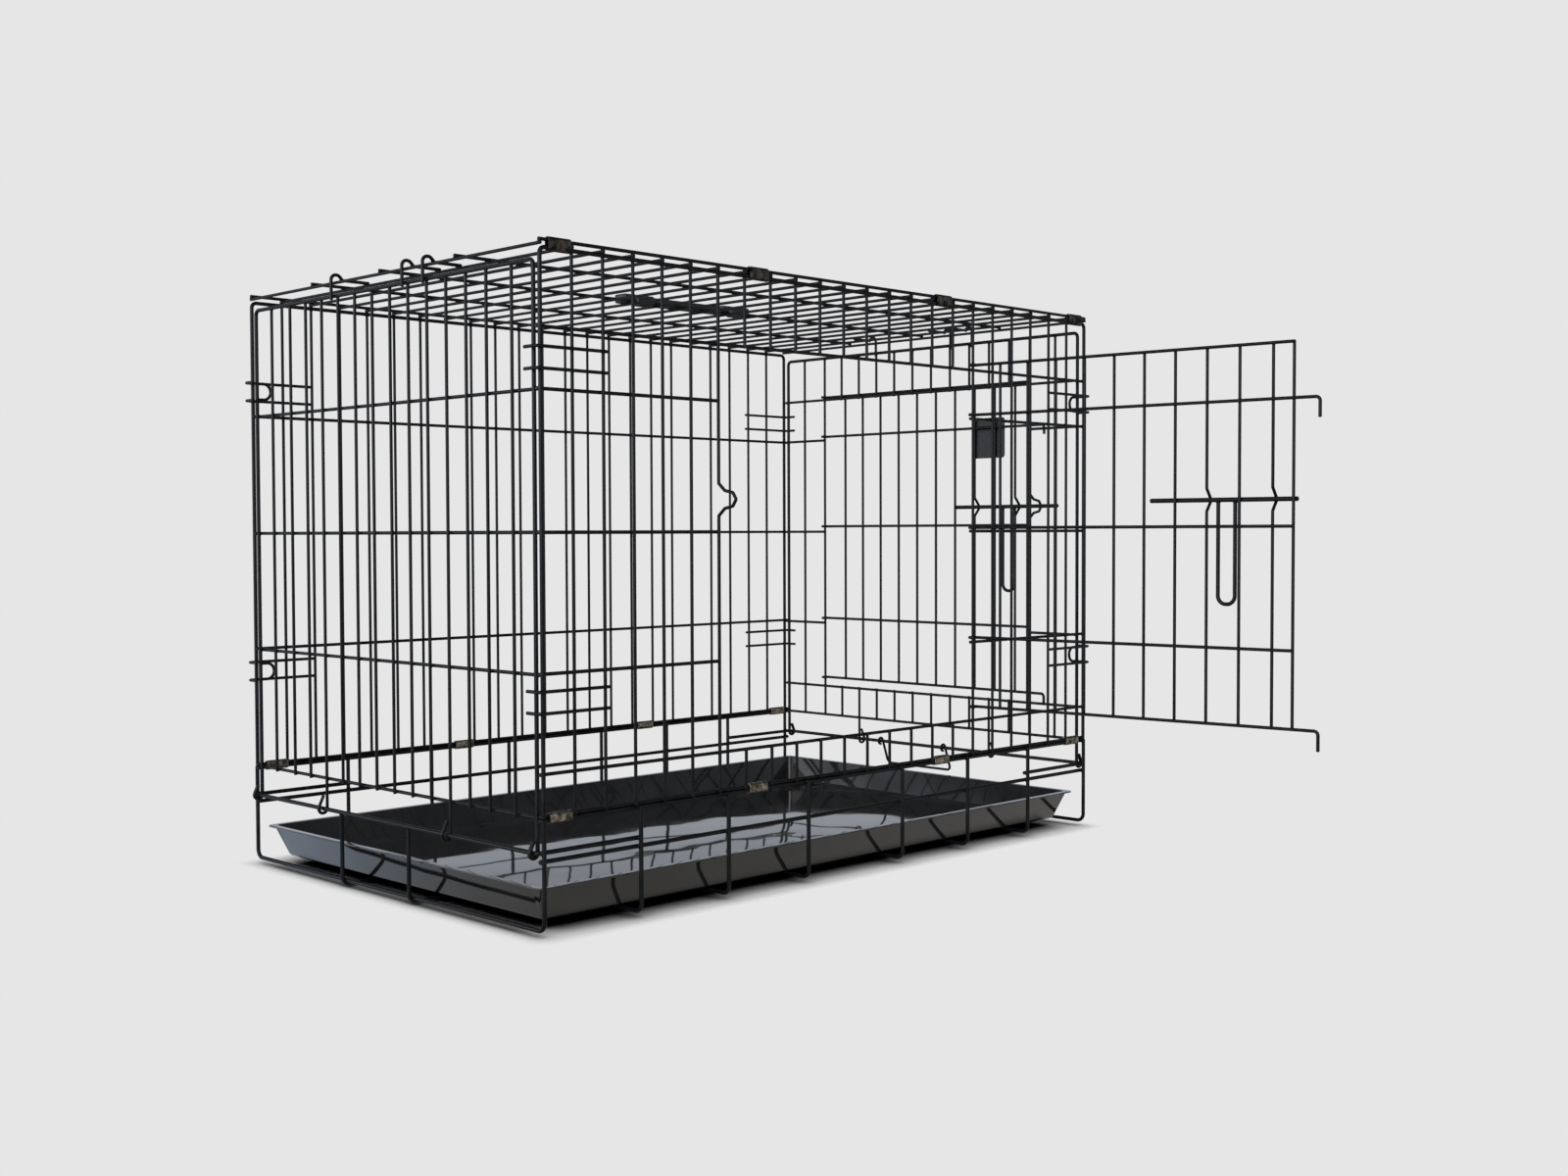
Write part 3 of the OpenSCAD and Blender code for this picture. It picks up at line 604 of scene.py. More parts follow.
rail_low, rail_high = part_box("far_rails")
RAIL_RADIUS = (rail_high.y - rail_low.y) / 2
for door in ("front", "side"):
    place = PLACE[door]
    node = door + "_door_rails"
    wire_piece(node, [door_rail(w) for w in door_islands(door, node)], place)
    node = door + "_door_guides"
    wire_piece(node, [guide(w) for w in door_islands(door, node)], place)
    node = door + "_bolt"
    wire_piece(node, [straight(w) for w in islands(node)])
    node = door + "_bolt_handle"
    wire_piece(node, [bent(w, "-0H -0- +0- +0H", GRIP_BEND, GRIP_RADIUS)
                      for w in door_islands(door, node)], place)
print("rail radius in mm:", round(RAIL_RADIUS / MM, 2))

# %% [markdown]
# ## Tray stop
# A wire loop hangs from the right end wire by two eyes and leans away from the tray. It is
# drawn hanging straight down and then turned by its lean.

# %% The stop
STOP_LEAN = math.radians(20)
STOP_BEND = 6 * MM
stop_hinge = JOINT["tray_stop_swing"]["pos_m"]
STOP_PLACE = Matrix.Translation(stop_hinge) @ Matrix.Rotation(-STOP_LEAN, 4, "Y")


def stop(wire):
    corners = corners_of(from_place(STOP_PLACE, wire), "+-0 +-- ++- ++0", BAR_RADIUS)
    for corner in (corners[0], corners[-1]):
        corner[2] = 0
    eyes = [arc([0, c[1], 0], [c[0], 0, 0], [0, 0, 1], EYE_TURN)
            for c in (corners[0], corners[-1])]
    return sweep(eyes[0][::-1] + rounded(corners, STOP_BEND)[1:-1] + eyes[1], BAR_RADIUS)


wire_piece("tray_stop", [stop(w) for w in islands("tray_stop")], STOP_PLACE)
print("the stop turns round", list(stop_hinge))

# %% [markdown]
# ## Welds
# Where two wires of a panel cross, a current was sent through them while they were pressed
# together, so the steel melted and left a small bead in the corner between them. Beads that are
# put in by hand drift off when a wire moves. Here they are found: the straight stretches of one
# body are tested in pairs, and a bead goes wherever two of them touch.


# %% Where wires touch
TOUCH = 0.12 * MM
CROSSING = 0.5  # cosine of the least angle between wires that count as crossing


def touching(stretches):
    """Centre, normal and radius of the spot where one straight wire lies or ends on another."""
    start, end = (np.array([s[i] for s in stretches]) for i in (0, 1))
    radius = np.array([s[2] for s in stretches])
    length = np.linalg.norm(end - start, axis=1)
    along = (end - start) / length[:, None]
    i, j = np.triu_indices(len(stretches), 1)
    turn = (along[i] * along[j]).sum(axis=1)
    crossing = np.abs(turn) < CROSSING
    i, j, turn = i[crossing], j[crossing], turn[crossing]
    between = start[j] - start[i]
    on_i, on_j = (between * along[i]).sum(axis=1), (between * along[j]).sum(axis=1)
    s = np.clip((on_i - turn * on_j) / (1 - turn ** 2), 0, length[i])
    t = np.clip((turn * on_i - on_j) / (1 - turn ** 2), 0, length[j])
    p = start[i] + along[i] * s[:, None]
    q = start[j] + along[j] * t[:, None]
    gap = np.linalg.norm(q - p, axis=1)
    spots = []
    for k in range(len(i)):
        ri, rj = radius[i[k]], radius[j[k]]
        if abs(gap[k] - ri - rj) < TOUCH:
            normal = (q[k] - p[k]) / gap[k]
            spots.append((p[k] + normal * ri, normal, min(ri, rj)))
        elif abs(gap[k] - rj) < TOUCH and s[k] in (0, length[i[k]]):
            spots.append((p[k], along[i[k]], ri))
        elif abs(gap[k] - ri) < TOUCH and t[k] in (0, length[j[k]]):
            spots.append((q[k], along[j[k]], rj))
    return spots


# %% Beads
BEAD_SIDES = 10
BEAD_WIDE = 1.3  # radius of a bead over that of the thinner wire
BEAD_THICK = 0.7
BEAD_LEVELS = [-70, -40, -12, 12, 40, 70]  # degrees from its widest ring


def bead(centre, normal, radius):
    """A flat round bead, thickest in the middle."""
    side = np.cross(normal, np.eye(3)[np.argmin(np.abs(normal))])
    side /= np.linalg.norm(side)
    other = np.cross(normal, side)
    turns = np.arange(BEAD_SIDES) * 2 * math.pi / BEAD_SIDES
    circle = np.outer(np.cos(turns), side) + np.outer(np.sin(turns), other)
    rings = [centre + circle * radius * BEAD_WIDE * math.cos(tilt)
             + normal * radius * BEAD_THICK * math.sin(tilt)
             for tilt in np.radians(BEAD_LEVELS)]
    return np.vstack(rings), ring_faces(len(rings), BEAD_SIDES)


for body, stretches in STRETCHES.items():
    if stretches:
        beads = [bead(*spot) for spot in touching(stretches)]
        if beads:
            piece(body + "_welds", beads, None, COAT, body=body)
        print("beads on", body, len(beads))

# %% [markdown]
# ## Clips
# Strips of zinc-plated sheet steel are folded round two wires, so that the panel can turn on
# the base or on the top. A strip is a flat section carried round a racetrack, closed on itself.
# The plating is a thin matt metal with a warm tint, so it is metallic and fairly rough. The clips
# of the top get a darker copy of the same plating, which is painted shade.

# %% Zinc-plated sheet
ZINC = "#CCC2AE"
ZINC_DULL = "#4F483E"
# A darker copy of the same zinc: painted shade for the clips of the top.
ZINC_PAINTED_SHADE = "#6A645A"
ZINC_PAINTED_SHADE_DULL = "#1C1A18"


def zinc_plated_sheet(name, bright, dull):
    finish, tree = new_material(name)
    where = add(tree, "TexCoord").outputs["Object"]
    stains = add(tree, "TexNoise", {"Vector": where, "Scale": per_mm(5), "Detail": 4})
    colour = two_tones(tree, stains, bright, dull)
    stretch = add(tree, "Mapping", {"Vector": where,
                                    "Scale": (per_mm(12), per_mm(0.5), per_mm(0.5))})
    rolling = add(tree, "TexNoise", {"Vector": stretch.outputs["Vector"], "Scale": 1, "Detail": 2})
    lines = add(tree, "Bump", {"Height": rolling.outputs["Fac"], "Distance": 0.02 * MM,
                               "Strength": 0.4})
    shader = add(tree, "BsdfPrincipled", {
        "Base Color": colour, "Metallic": 1.0,
        "Roughness": ramp(tree, stains.outputs["Fac"], 0.32, 0.5),
        "Normal": lines.outputs["Normal"],
    })
    add(tree, "OutputMaterial", {"Surface": shader.outputs["BSDF"]})
    return finish


ZINC_PLATED = zinc_plated_sheet("zinc-plated sheet steel, rolled", ZINC, ZINC_DULL)
PAINTED_SHADE_ZINC = zinc_plated_sheet("zinc-plated sheet steel, darker copy for painted shade", ZINC_PAINTED_SHADE, ZINC_PAINTED_SHADE_DULL)
print("materials:", ZINC_PLATED.name, "/", PAINTED_SHADE_ZINC.name)

# %% Clip bands
CLIP_SHEET = 0.8 * MM
SHEET_EDGE = 0.15 * MM


def closed_faces(rings, sides):
    """Faces between rings of points, where the last ring joins the first one again."""
    return [((r * sides + s), (r * sides + (s + 1) % sides),
             ((r + 1) % rings * sides + (s + 1) % sides), ((r + 1) % rings * sides + s))
            for r in range(rings) for s in range(sides)]


def band(wire):
    """A strip of sheet round two parallel wires, one above the other."""
    low, high = wire.min(axis=0), wire.max(axis=0)
    outer = (high[1] - low[1]) / 2
    middle = (low + high) / 2
    half = (high[0] - low[0]) / 2
    up = high[2] - outer - middle[2]
    route = [(middle + [0, 0, side * up], angle + (0 if side > 0 else math.pi))
             for side in (1, -1) for angle in np.arange(0, math.pi + ARC_STEP / 2, ARC_STEP)]
    inner = outer - CLIP_SHEET
    section = [(half - SHEET_EDGE, outer), (half, outer - SHEET_EDGE), (half, inner + SHEET_EDGE),
               (half - SHEET_EDGE, inner)]
    section += [(-x, r) for x, r in reversed(section)]
    points = [centre + [x, r * math.cos(turn), r * math.sin(turn)]
              for centre, turn in route for x, r in section]
    return points, closed_faces(len(route), len(section))


# The clips of the top take the darker copy of the zinc, which is painted shade.
for node, plating in (("near_lower_clips", ZINC_PLATED), ("near_upper_clips", PAINTED_SHADE_ZINC),
                      ("far_lower_clips", ZINC_PLATED)):
    piece(node + "_sheet", [band(w) for w in islands(node)], node, plating)
print("clips:", sum(len(islands(n)) for n in ("near_lower_clips", "near_upper_clips")))

# %% [markdown]
# ## Tray
# The tray is vacuum-formed from one sheet of glossy black-grey plastic: a flat floor, leaning
# walls and a narrow rim. Every level of it is a rectangle with rounded corners, so it is a
# loft: the profile of a wall is a rounded path, and each of its points gives one rectangle.
# A thin formed sheet is never quite flat, and its gloss shows that. A low bulge over the whole
# floor and long shallow waves bend the reflections. Both are in the bump of the material.

# %% Vacuum-formed plastic
TRAY_GREY = "#191919"
TRAY_GREY_LIGHT = "#222223"
DOME = 8 * MM  # how far the floor bulges up in the middle
WAVES = 1.1 * MM  # height of its long waves
FLOOR_HALF = (360 * MM, 210 * MM)  # half length and half width of the bulge


def vacuum_formed_abs():
    finish, tree = new_material("ABS sheet, vacuum-formed, glossy dark grey")
    where = add(tree, "TexCoord").outputs["Object"]
    cloud = add(tree, "TexNoise", {"Vector": where, "Scale": per_mm(60), "Detail": 3})
    colour = two_tones(tree, cloud, TRAY_GREY, TRAY_GREY_LIGHT)
    spread = add(tree, "VectorMath", {0: where, 1: (*FLOOR_HALF, 1)}, operation="DIVIDE")
    squares = add(tree, "VectorMath", {0: spread.outputs[0], 1: spread.outputs[0]},
                  operation="MULTIPLY")
    capped = add(tree, "VectorMath", {0: squares.outputs[0], 1: (1, 1, 0)}, operation="MINIMUM")
    fall = add(tree, "VectorMath", {0: capped.outputs[0], 1: (1, 1, 0)}, operation="DOT_PRODUCT")
    dome = add(tree, "Bump", {"Height": fall.outputs["Value"], "Distance": DOME, "Strength": 1},
               invert=True)
    waves = add(tree, "TexNoise", {"Vector": where, "Scale": per_mm(90), "Detail": 1})
    wavy = add(tree, "Bump", {"Height": waves.outputs["Fac"], "Distance": WAVES, "Strength": 1,
                              "Normal": dome.outputs["Normal"]})
    pores = add(tree, "TexNoise", {"Vector": where, "Scale": per_mm(1.2), "Detail": 2})
    skin = add(tree, "Bump", {"Height": pores.outputs["Fac"], "Distance": 0.01 * MM,
                              "Strength": 0.3, "Normal": wavy.outputs["Normal"]})
    shader = add(tree, "BsdfPrincipled", {
        "Base Color": colour,
        "Roughness": ramp(tree, cloud.outputs["Fac"], 0.05, 0.1),
        "IOR": 1.54, "Normal": skin.outputs["Normal"],
        "Coat Weight": 1.0, "Coat Roughness": 0.01, "Coat IOR": 1.49,
        "Coat Normal": wavy.outputs["Normal"],
    })
    add(tree, "OutputMaterial", {"Surface": shader.outputs["BSDF"]})
    return finish


# %% Loft of rounded rectangles
CORNER_STEPS = 6


def rounded_rectangle(half_x, half_y, corner, z):
    """A ring of points round the origin, counter-clockwise seen from above."""
    ring = []
    for quarter in range(4):
        sign_x = 1 if quarter in (0, 3) else -1
        sign_y = 1 if quarter in (0, 1) else -1
        centre = (sign_x * (half_x - corner), sign_y * (half_y - corner))
        for step in range(CORNER_STEPS + 1):
            turn = (quarter + step / CORNER_STEPS) * math.pi / 2
            ring.append((centre[0] + corner * math.cos(turn),
                         centre[1] + corner * math.sin(turn), z))
    return ring


def loft(profile, half_x, half_y, corner, least_corner):
    """Rectangles that are drawn in from the full size by each profile point's first number."""
    rings = [rounded_rectangle(half_x - inset, half_y - inset, max(corner - inset, least_corner), z)
             for inset, z in profile]
    return [p for ring in rings for p in ring], ring_faces(len(rings), len(rings[0]))


# %% Tray
TRAY_LIP = 5 * MM
LIP_SHEET = 1.6 * MM
TRAY_LEAN = 11 * MM
TRAY_SHEET = 2 * MM
TRAY_CORNER = 7 * MM
FLOOR_CORNER = 5 * MM
FLOOR_EDGE = 14 * MM  # how far the profile runs in along the floor
WALL_BENDS = [5 * MM, 0.7 * MM, 0.6 * MM, 0.6 * MM, 1.2 * MM, 4 * MM]
tray_low, tray_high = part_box("tray")
foot = TRAY_LIP + TRAY_LEAN
under_lip, on_floor = tray_high.z - LIP_SHEET, tray_low.z + TRAY_SHEET
wall_corners = [
    (foot + FLOOR_EDGE, tray_low.z), (foot, tray_low.z), (TRAY_LIP, under_lip),
    (0, under_lip), (0, tray_high.z), (TRAY_LIP + TRAY_SHEET, tray_high.z),
    (foot + TRAY_SHEET, on_floor), (foot + TRAY_SHEET + FLOOR_EDGE, on_floor),
]
wall_profile = rounded([np.array(p) for p in wall_corners], WALL_BENDS)
tray_loft = loft(wall_profile, (tray_high.x - tray_low.x) / 2, (tray_high.y - tray_low.y) / 2,
                 TRAY_CORNER, FLOOR_CORNER)
tray_middle = Matrix.Translation(((tray_high.x + tray_low.x) / 2,
                                  (tray_high.y + tray_low.y) / 2, 0))
piece("formed_tray", [tray_loft], "tray", vacuum_formed_abs(), tray_middle)
print("levels of the tray:", len(wall_profile))

# %% [markdown]
# ## Blank plate
# A small black plate sits on the bars of the front door. It is blank: a pressed sheet with
# rounded corners, powder-coated, so it shows a fine grain and no gloss line.

# %% Powder coat
PLATE_BLACK = "#17181A"


def powder_coated_sheet():
    finish, tree = new_material("powder-coated steel sheet, black")
    where = add(tree, "TexCoord").outputs["Object"]
    grain = add(tree, "TexNoise", {"Vector": where, "Scale": per_mm(0.8), "Detail": 3})
    dust = add(tree, "TexNoise", {"Vector": where, "Scale": per_mm(14), "Detail": 3})
    colour = two_tones(tree, dust, PLATE_BLACK, COAT_WORN)
    bumps = add(tree, "Bump", {"Height": grain.outputs["Fac"], "Distance": 0.05 * MM,
                               "Strength": 0.6})
    shader = add(tree, "BsdfPrincipled", {
        "Base Color": colour,
        "Roughness": ramp(tree, grain.outputs["Fac"], 0.42, 0.6),
        "IOR": 1.5, "Normal": bumps.outputs["Normal"],
    })
    add(tree, "OutputMaterial", {"Surface": shader.outputs["BSDF"]})
    return finish


# %% Plate
PLATE_CORNER = 4 * MM
PLATE_EDGE = 0.35 * MM
plate_points = door_islands("front", "front_door_plate")[0]
plate_low, plate_high = plate_points.min(axis=0), plate_points.max(axis=0)
plate_half = (plate_high - plate_low) / 2
plate_profile = [(PLATE_EDGE, -plate_half[1]), (0, PLATE_EDGE - plate_half[1]),
                 (0, plate_half[1] - PLATE_EDGE), (PLATE_EDGE, plate_half[1])]
plate_loft = loft(plate_profile, plate_half[0], plate_half[2], PLATE_CORNER, PLATE_CORNER / 2)
plate_place = (PLACE["front"] @ Matrix.Translation((plate_low + plate_high) / 2)
               @ Matrix.Rotation(math.radians(90), 4, "X"))
piece("blank_plate", [plate_loft], "front_door_plate", powder_coated_sheet(),
      plate_place)
print("plate in mm:", [round(2 * half / MM, 1) for half in plate_half])

# %% [markdown]
# ## Carry handle
# The handle is moulded in black plastic: a thick block at each end, a slimmer grip between
# them and two lugs that clip round the middle long wire of the top. Its outline is one closed
# path. The edges are rounded by drawing the first and last outlines in.

# %% Moulded plastic
HANDLE_BLACK = "#1B1C1E"
HANDLE_BLACK_LIGHT = "#232427"


def moulded_polypropylene():
    finish, tree = new_material("polypropylene, moulded, matt black")
    where = add(tree, "TexCoord").outputs["Object"]
    spark = add(tree, "TexNoise", {"Vector": where, "Scale": per_mm(0.9), "Detail": 2})
    rub = add(tree, "TexNoise", {"Vector": where, "Scale": per_mm(25), "Detail": 3})
    colour = two_tones(tree, rub, HANDLE_BLACK, HANDLE_BLACK_LIGHT)
    bumps = add(tree, "Bump", {"Height": spark.outputs["Fac"], "Distance": 0.04 * MM,
                               "Strength": 0.6})
    shader = add(tree, "BsdfPrincipled", {
        "Base Color": colour,
        "Roughness": ramp(tree, rub.outputs["Fac"], 0.4, 0.52),
        "IOR": 1.49, "Normal": bumps.outputs["Normal"],
    })
    add(tree, "OutputMaterial", {"Surface": shader.outputs["BSDF"]})
    return finish


# %% Handle
BLOCK_LENGTH = 42 * MM
BLOCK_START = 1 * MM
GRIP_START = 8 * MM
HANDLE_CORNER = 4 * MM
HANDLE_EDGE = 2 * MM
HANDLE_THICK = 9 * MM
NECK_CORNER = 2.5 * MM
EDGE_STEPS = 5
LUG_RADIUS = 5.2 * MM
LUG_LENGTH = 24 * MM
BAR_DIGITS = 5  # decimals of a metre that tell two uprights apart
handle_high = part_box("carry_handle")[1]
bars_x = sorted({round(float(w[:, 0].mean()), BAR_DIGITS) for w in islands("far_bars")})
LUG_X = 2 * (bars_x[1] - bars_x[0])  # the lugs stand two uprights out from the middle


def drawn_in(outline, inset):
    """A closed outline, each point moved to the inside by the inset."""
    back, ahead = np.roll(outline, 1, axis=0), np.roll(outline, -1, axis=0)
    along = (ahead - back) / np.linalg.norm(ahead - back, axis=1)[:, None]
    return outline + inset * np.column_stack([-along[:, 1], along[:, 0]])


def handle_body():
    end, back = handle_high.x, handle_high.y
    block = end - BLOCK_LENGTH
    corners = [(0, back), (-end, back), (-end, BLOCK_START), (-block, BLOCK_START),
               (-block, GRIP_START), (block, GRIP_START), (block, BLOCK_START), (end, BLOCK_START),
               (end, back), (0, back)]
    low = handle_high.z - HANDLE_THICK
    bends = [HANDLE_CORNER] * 3 + [NECK_CORNER] * 2 + [HANDLE_CORNER] * 3
    outline = np.array(rounded([np.array(c) for c in corners], bends)[:-1])
    edge = [(HANDLE_EDGE * (1 - math.sin(t)), HANDLE_EDGE * (1 - math.cos(t)))
            for t in np.linspace(0, math.pi / 2, EDGE_STEPS)]
    levels = [(inset, low + up) for inset, up in edge]
    levels += [(inset, handle_high.z - up) for inset, up in reversed(edge)]
    rings = [np.column_stack([drawn_in(outline, inset), np.full(len(outline), z)])
             for inset, z in levels]
    return np.vstack(rings), ring_faces(len(rings), len(outline))


lugs = [sweep([np.array([x - LUG_LENGTH / 2, 0, long_wire_z]),
               np.array([x + LUG_LENGTH / 2, 0, long_wire_z])], LUG_RADIUS)
        for x in (-LUG_X, LUG_X)]
piece("moulded_handle", [handle_body()] + lugs, "carry_handle", moulded_polypropylene())
print("lugs at x in mm:", round(LUG_X / MM, 2))

# %% [markdown]
# ## Floor
# The crate stands on an even, pale ground with a narrow soft shadow. A lit white plane would
# change with distance and show its edge, so past the crate's foot the floor shows the camera its
# plain colour, and only close to the foot is it lit like paper, with a painted shade that darkens
# its colour under things. A glossy tray mirrors the ground too. Light Path tells which kind of ray
# asks, so gloss gets a ground of its own, which is darker, with a painted bluish light at the left
# and a painted black shadow under the crate.

# %% Floor
BLACK = (0, 0, 0, 1)
GROUND = "#E6E6E6"
PAPER = "#ECECEC"
PAPER_DARK = "#E9E9E9"
FOOT = tuple(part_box("base_cross_wires")[1])[:2]  # half length and half width of the base
FADE_TO = 22 * MM  # out from the foot, where the shadow has faded away
MIRRORED = "#94928F"  # the ground as gloss shows it
# Painted light: at the crate's left end gloss sees the ground bluish, as if lit by a bluish lamp there.
MIRRORED_LAMP_LIT_LEFT = "#96A3B4"  # and at the crate's left end
# Painted shadow: inside the crate's foot gloss sees the ground black.
PAINTED_SHADOW_INSET = 30 * MM  # inside the crate's foot, where gloss shows the ground black
PAINTED_SHADOW_FADE = 14 * MM
LEFT_EDGE = 90 * MM  # how far the left end's colour reaches in
# Painted shade: near things the paper's colour is darkened towards black.
HIDDEN_FROM = 32 * MM  # how near a thing must be to darken the paper under it


def outside(tree, where, half):
    """How far a point lies outside a rectangle round the origin, given by its half sizes."""
    side = add(tree, "VectorMath", {0: where}, operation="ABSOLUTE")
    past = add(tree, "VectorMath", {0: side.outputs[0], 1: (*half, 0)}, operation="SUBTRACT")
    out = add(tree, "VectorMath", {0: past.outputs[0], 1: (0, 0, 0)}, operation="MAXIMUM")
    return add(tree, "VectorMath", {0: out.outputs[0]}, operation="LENGTH").outputs["Value"]


def matt_paper():
    finish, tree = new_material("matt paper ground")
    where = add(tree, "TexCoord").outputs["Object"]
    grain = add(tree, "TexNoise", {"Vector": where, "Scale": per_mm(4), "Detail": 2})
    colour = add(tree, "Mix", {
        "Factor": grain.outputs["Fac"], "A": linear(PAPER_DARK), "B": linear(PAPER),
    }, data_type="RGBA")
    # Painted contact shade: ambient occlusion mixes the paper's colour towards black under things.
    open_sky = add(tree, "AmbientOcclusion", {"Distance": HIDDEN_FROM}, samples=8)
    painted_contact_shade = ramp(tree, open_sky.outputs["AO"], 0, 1, 0.3, 0.95)
    shaded = add(tree, "Mix", {"Factor": painted_contact_shade, "A": BLACK, "B": colour.outputs["Result"]},
                 data_type="RGBA")
    near = add(tree, "BsdfDiffuse", {"Color": shaded.outputs["Result"]})
    path = add(tree, "LightPath")
    spot = add(tree, "SeparateXYZ", {0: where})
    # Painted light for gloss: the ground turns bluish towards the crate's left end.
    across = add(tree, "MapRange", {"Value": spot.outputs["Y"], "From Min": -FOOT[1],
                                    "From Max": FOOT[1]}, interpolation_type="SMOOTHSTEP")
    left = add(tree, "MapRange", {"Value": spot.outputs["X"], "From Min": -FOOT[0],
                                  "From Max": LEFT_EDGE - FOOT[0],
                                  "To Min": across.outputs["Result"], "To Max": 0})
    mirrored = add(tree, "Mix", {"Factor": left.outputs["Result"], "A": linear(MIRRORED),
                                 "B": linear(MIRRORED_LAMP_LIT_LEFT)}, data_type="RGBA")
    # Painted shadow for gloss: the ground turns black inside the crate's foot.
    inner_foot = [half - PAINTED_SHADOW_INSET for half in FOOT]
    lit = add(tree, "MapRange", {"Value": outside(tree, where, inner_foot), "From Min": 0,
                                 "From Max": PAINTED_SHADOW_FADE}, interpolation_type="SMOOTHSTEP")
    mirrored = add(tree, "Mix", {"Factor": lit.outputs["Result"], "A": BLACK,
                                 "B": mirrored.outputs["Result"]}, data_type="RGBA")
    ground = add(tree, "Mix", {"Factor": path.outputs["Is Glossy Ray"], "A": linear(GROUND),
                               "B": mirrored.outputs["Result"]}, data_type="RGBA")
    far = add(tree, "Emission", {"Color": ground.outputs["Result"]})
    fade = add(tree, "MapRange", {"Value": outside(tree, where, FOOT), "From Min": 0,
                                  "From Max": FADE_TO}, interpolation_type="SMOOTHSTEP")
    seen = add(tree, "Math", {0: fade.outputs["Result"], 1: path.outputs["Is Camera Ray"]},
               operation="MULTIPLY")
    share = add(tree, "Math", {0: seen.outputs[0], 1: path.outputs["Is Glossy Ray"]},
                operation="MAXIMUM")
    both = add(tree, "MixShader", {0: share.outputs[0], 1: near.outputs[0], 2: far.outputs[0]})
    add(tree, "OutputMaterial", {"Surface": both.outputs[0]})
    return finish


def ground_floor(reach):
    mesh = bpy.data.meshes.new("ground")
    corners = [(x * reach, y * reach, 0) for x, y in ((-1, -1), (1, -1), (1, 1), (-1, 1))]
    mesh.from_pydata(corners, [], [(0, 1, 2, 3)])
    floor = bpy.data.objects.new("ground", mesh)
    bpy.context.scene.collection.objects.link(floor)
    mesh.materials.append(matt_paper())


ground_floor(reach=60)
print("foot of the crate in mm:", [round(half / MM, 1) for half in FOOT])

# %% [markdown]
# ## Light
# A world that lights from all round and one very soft sun give an even light, in which a colour
# comes out about as it is written. The camera sees the world in the ground's colour, so the floor
# has no visible edge. Gloss gets a world of its own: light near the horizon, dark overhead, and
# brightest at the left, as from a large soft lamp. It gives the tray its streaks and dark parts.

# %% World and sun
WORLD_LIGHT = 0.78
GLOSS_BLUE = "#DAE1EB"
GLOSS_LOW = 0.56  # what gloss sees near the horizon
GLOSS_HIGH = 0.1  # and overhead
LAMP_LEFT = 3.5  # added at the left
LAMP_FROM, LAMP_TO = -0.75, -0.3  # the x of the directions where that fades out
DARK_FROM, DARK_TO = 0.3, 0.5  # the z of the directions where it turns dark
SUN_POWER = 0.75
SUN_SOFT = math.radians(50)
SUN_FROM = (-0.75, -0.35, 1)


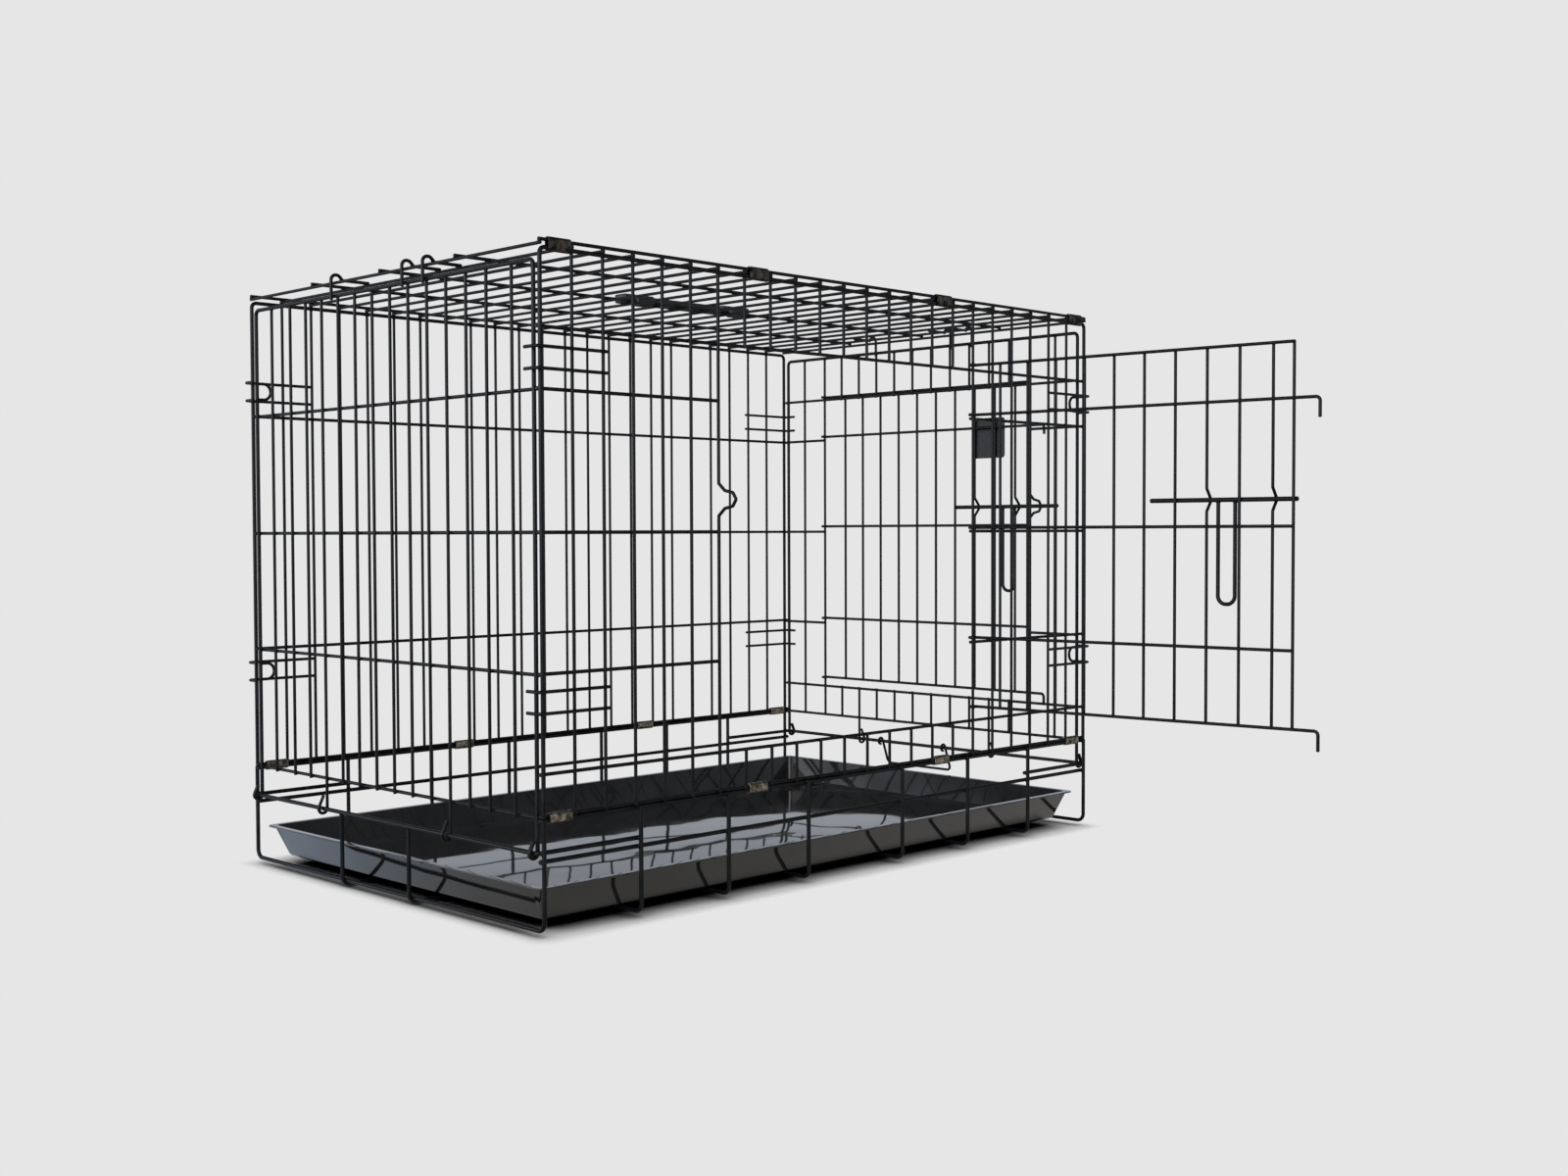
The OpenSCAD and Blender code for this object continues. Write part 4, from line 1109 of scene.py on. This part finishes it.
def studio_world():
    world = bpy.data.worlds.new("studio")
    bpy.context.scene.world = world
    world.use_nodes = True
    tree = world.node_tree
    tree.nodes.clear()
    path = add(tree, "LightPath")
    seen = add(tree, "Math", {0: path.outputs["Is Camera Ray"], 1: path.outputs["Is Glossy Ray"]},
               operation="MAXIMUM")
    seen = add(tree, "Math", {0: seen.outputs[0], 1: path.outputs["Is Transmission Ray"]},
               operation="MAXIMUM")
    light = add(tree, "Background", {"Color": (1, 1, 1, 1), "Strength": WORLD_LIGHT})
    ground = add(tree, "Background", {"Color": linear(GROUND), "Strength": 1})
    both = add(tree, "MixShader", {0: seen.outputs[0], 1: light.outputs[0], 2: ground.outputs[0]})
    where = add(tree, "TexCoord").outputs["Generated"]
    towards = add(tree, "SeparateXYZ", {0: where})
    around = add(tree, "MapRange", {"Value": towards.outputs["X"], "From Min": LAMP_FROM,
                                    "From Max": LAMP_TO, "To Min": GLOSS_LOW + LAMP_LEFT,
                                    "To Max": GLOSS_LOW}, interpolation_type="SMOOTHSTEP")
    level = add(tree, "MapRange", {"Value": towards.outputs["Z"], "From Min": DARK_FROM,
                                   "From Max": DARK_TO, "To Min": around.outputs["Result"],
                                   "To Max": GLOSS_HIGH}, interpolation_type="SMOOTHSTEP")
    gloss = add(tree, "Background", {"Color": linear(GLOSS_BLUE),
                                     "Strength": level.outputs["Result"]})
    both = add(tree, "MixShader", {0: path.outputs["Is Glossy Ray"], 1: both.outputs[0],
                                   2: gloss.outputs[0]})
    add(tree, "OutputWorld", {"Surface": both.outputs[0]})


def soft_sun():
    lamp = bpy.data.lights.new("soft sun", "SUN")
    lamp.energy = SUN_POWER
    lamp.angle = SUN_SOFT
    sun = bpy.data.objects.new("soft sun", lamp)
    bpy.context.scene.collection.objects.link(sun)
    sun.rotation_euler = Vector(SUN_FROM).to_track_quat("Z", "Y").to_euler()


studio_world()
soft_sun()
bpy.context.scene.view_settings.view_transform = "Standard"
print("sun:", SUN_POWER, "world:", WORLD_LIGHT)

# %% [markdown]
# ## Camera
# The camera stands as it did for the photograph. Its place and angles were fitted to the crate's
# corners. Blender takes a focal length in millimetres of a sensor, so the one in pixels is scaled.

# %% Camera at the photograph's viewing angle
CAMERA_AT = (-1.2401, -1.3751, 0.3354)
CAMERA_YAW = math.radians(45.108)
CAMERA_PITCH = math.radians(-1.854)
CAMERA_ROLL = math.radians(-0.185)
FOCAL_PIXELS = 1755.4
PHOTO_WIDTH = 1600
SENSOR = 36


def photo_camera():
    camera_data = bpy.data.cameras.new("photo")
    camera_data.sensor_width = SENSOR
    camera_data.lens = SENSOR * FOCAL_PIXELS / PHOTO_WIDTH
    camera_data.clip_end = 300
    camera = bpy.data.objects.new("photo", camera_data)
    bpy.context.scene.collection.objects.link(camera)
    flat = math.cos(CAMERA_PITCH)
    forward = Vector((math.sin(CAMERA_YAW) * flat, math.cos(CAMERA_YAW) * flat,
                      math.sin(CAMERA_PITCH)))
    right = Vector((math.cos(CAMERA_YAW), -math.sin(CAMERA_YAW), 0))
    up = right.cross(forward)
    rolled_right = math.cos(CAMERA_ROLL) * right + math.sin(CAMERA_ROLL) * up
    rolled_up = math.cos(CAMERA_ROLL) * up - math.sin(CAMERA_ROLL) * right
    camera.matrix_world = Matrix.Translation(CAMERA_AT) @ Matrix(
        (rolled_right, rolled_up, -forward)).transposed().to_4x4()
    bpy.context.scene.camera = camera


photo_camera()
print("lens in mm:", round(bpy.context.scene.camera.data.lens, 2))
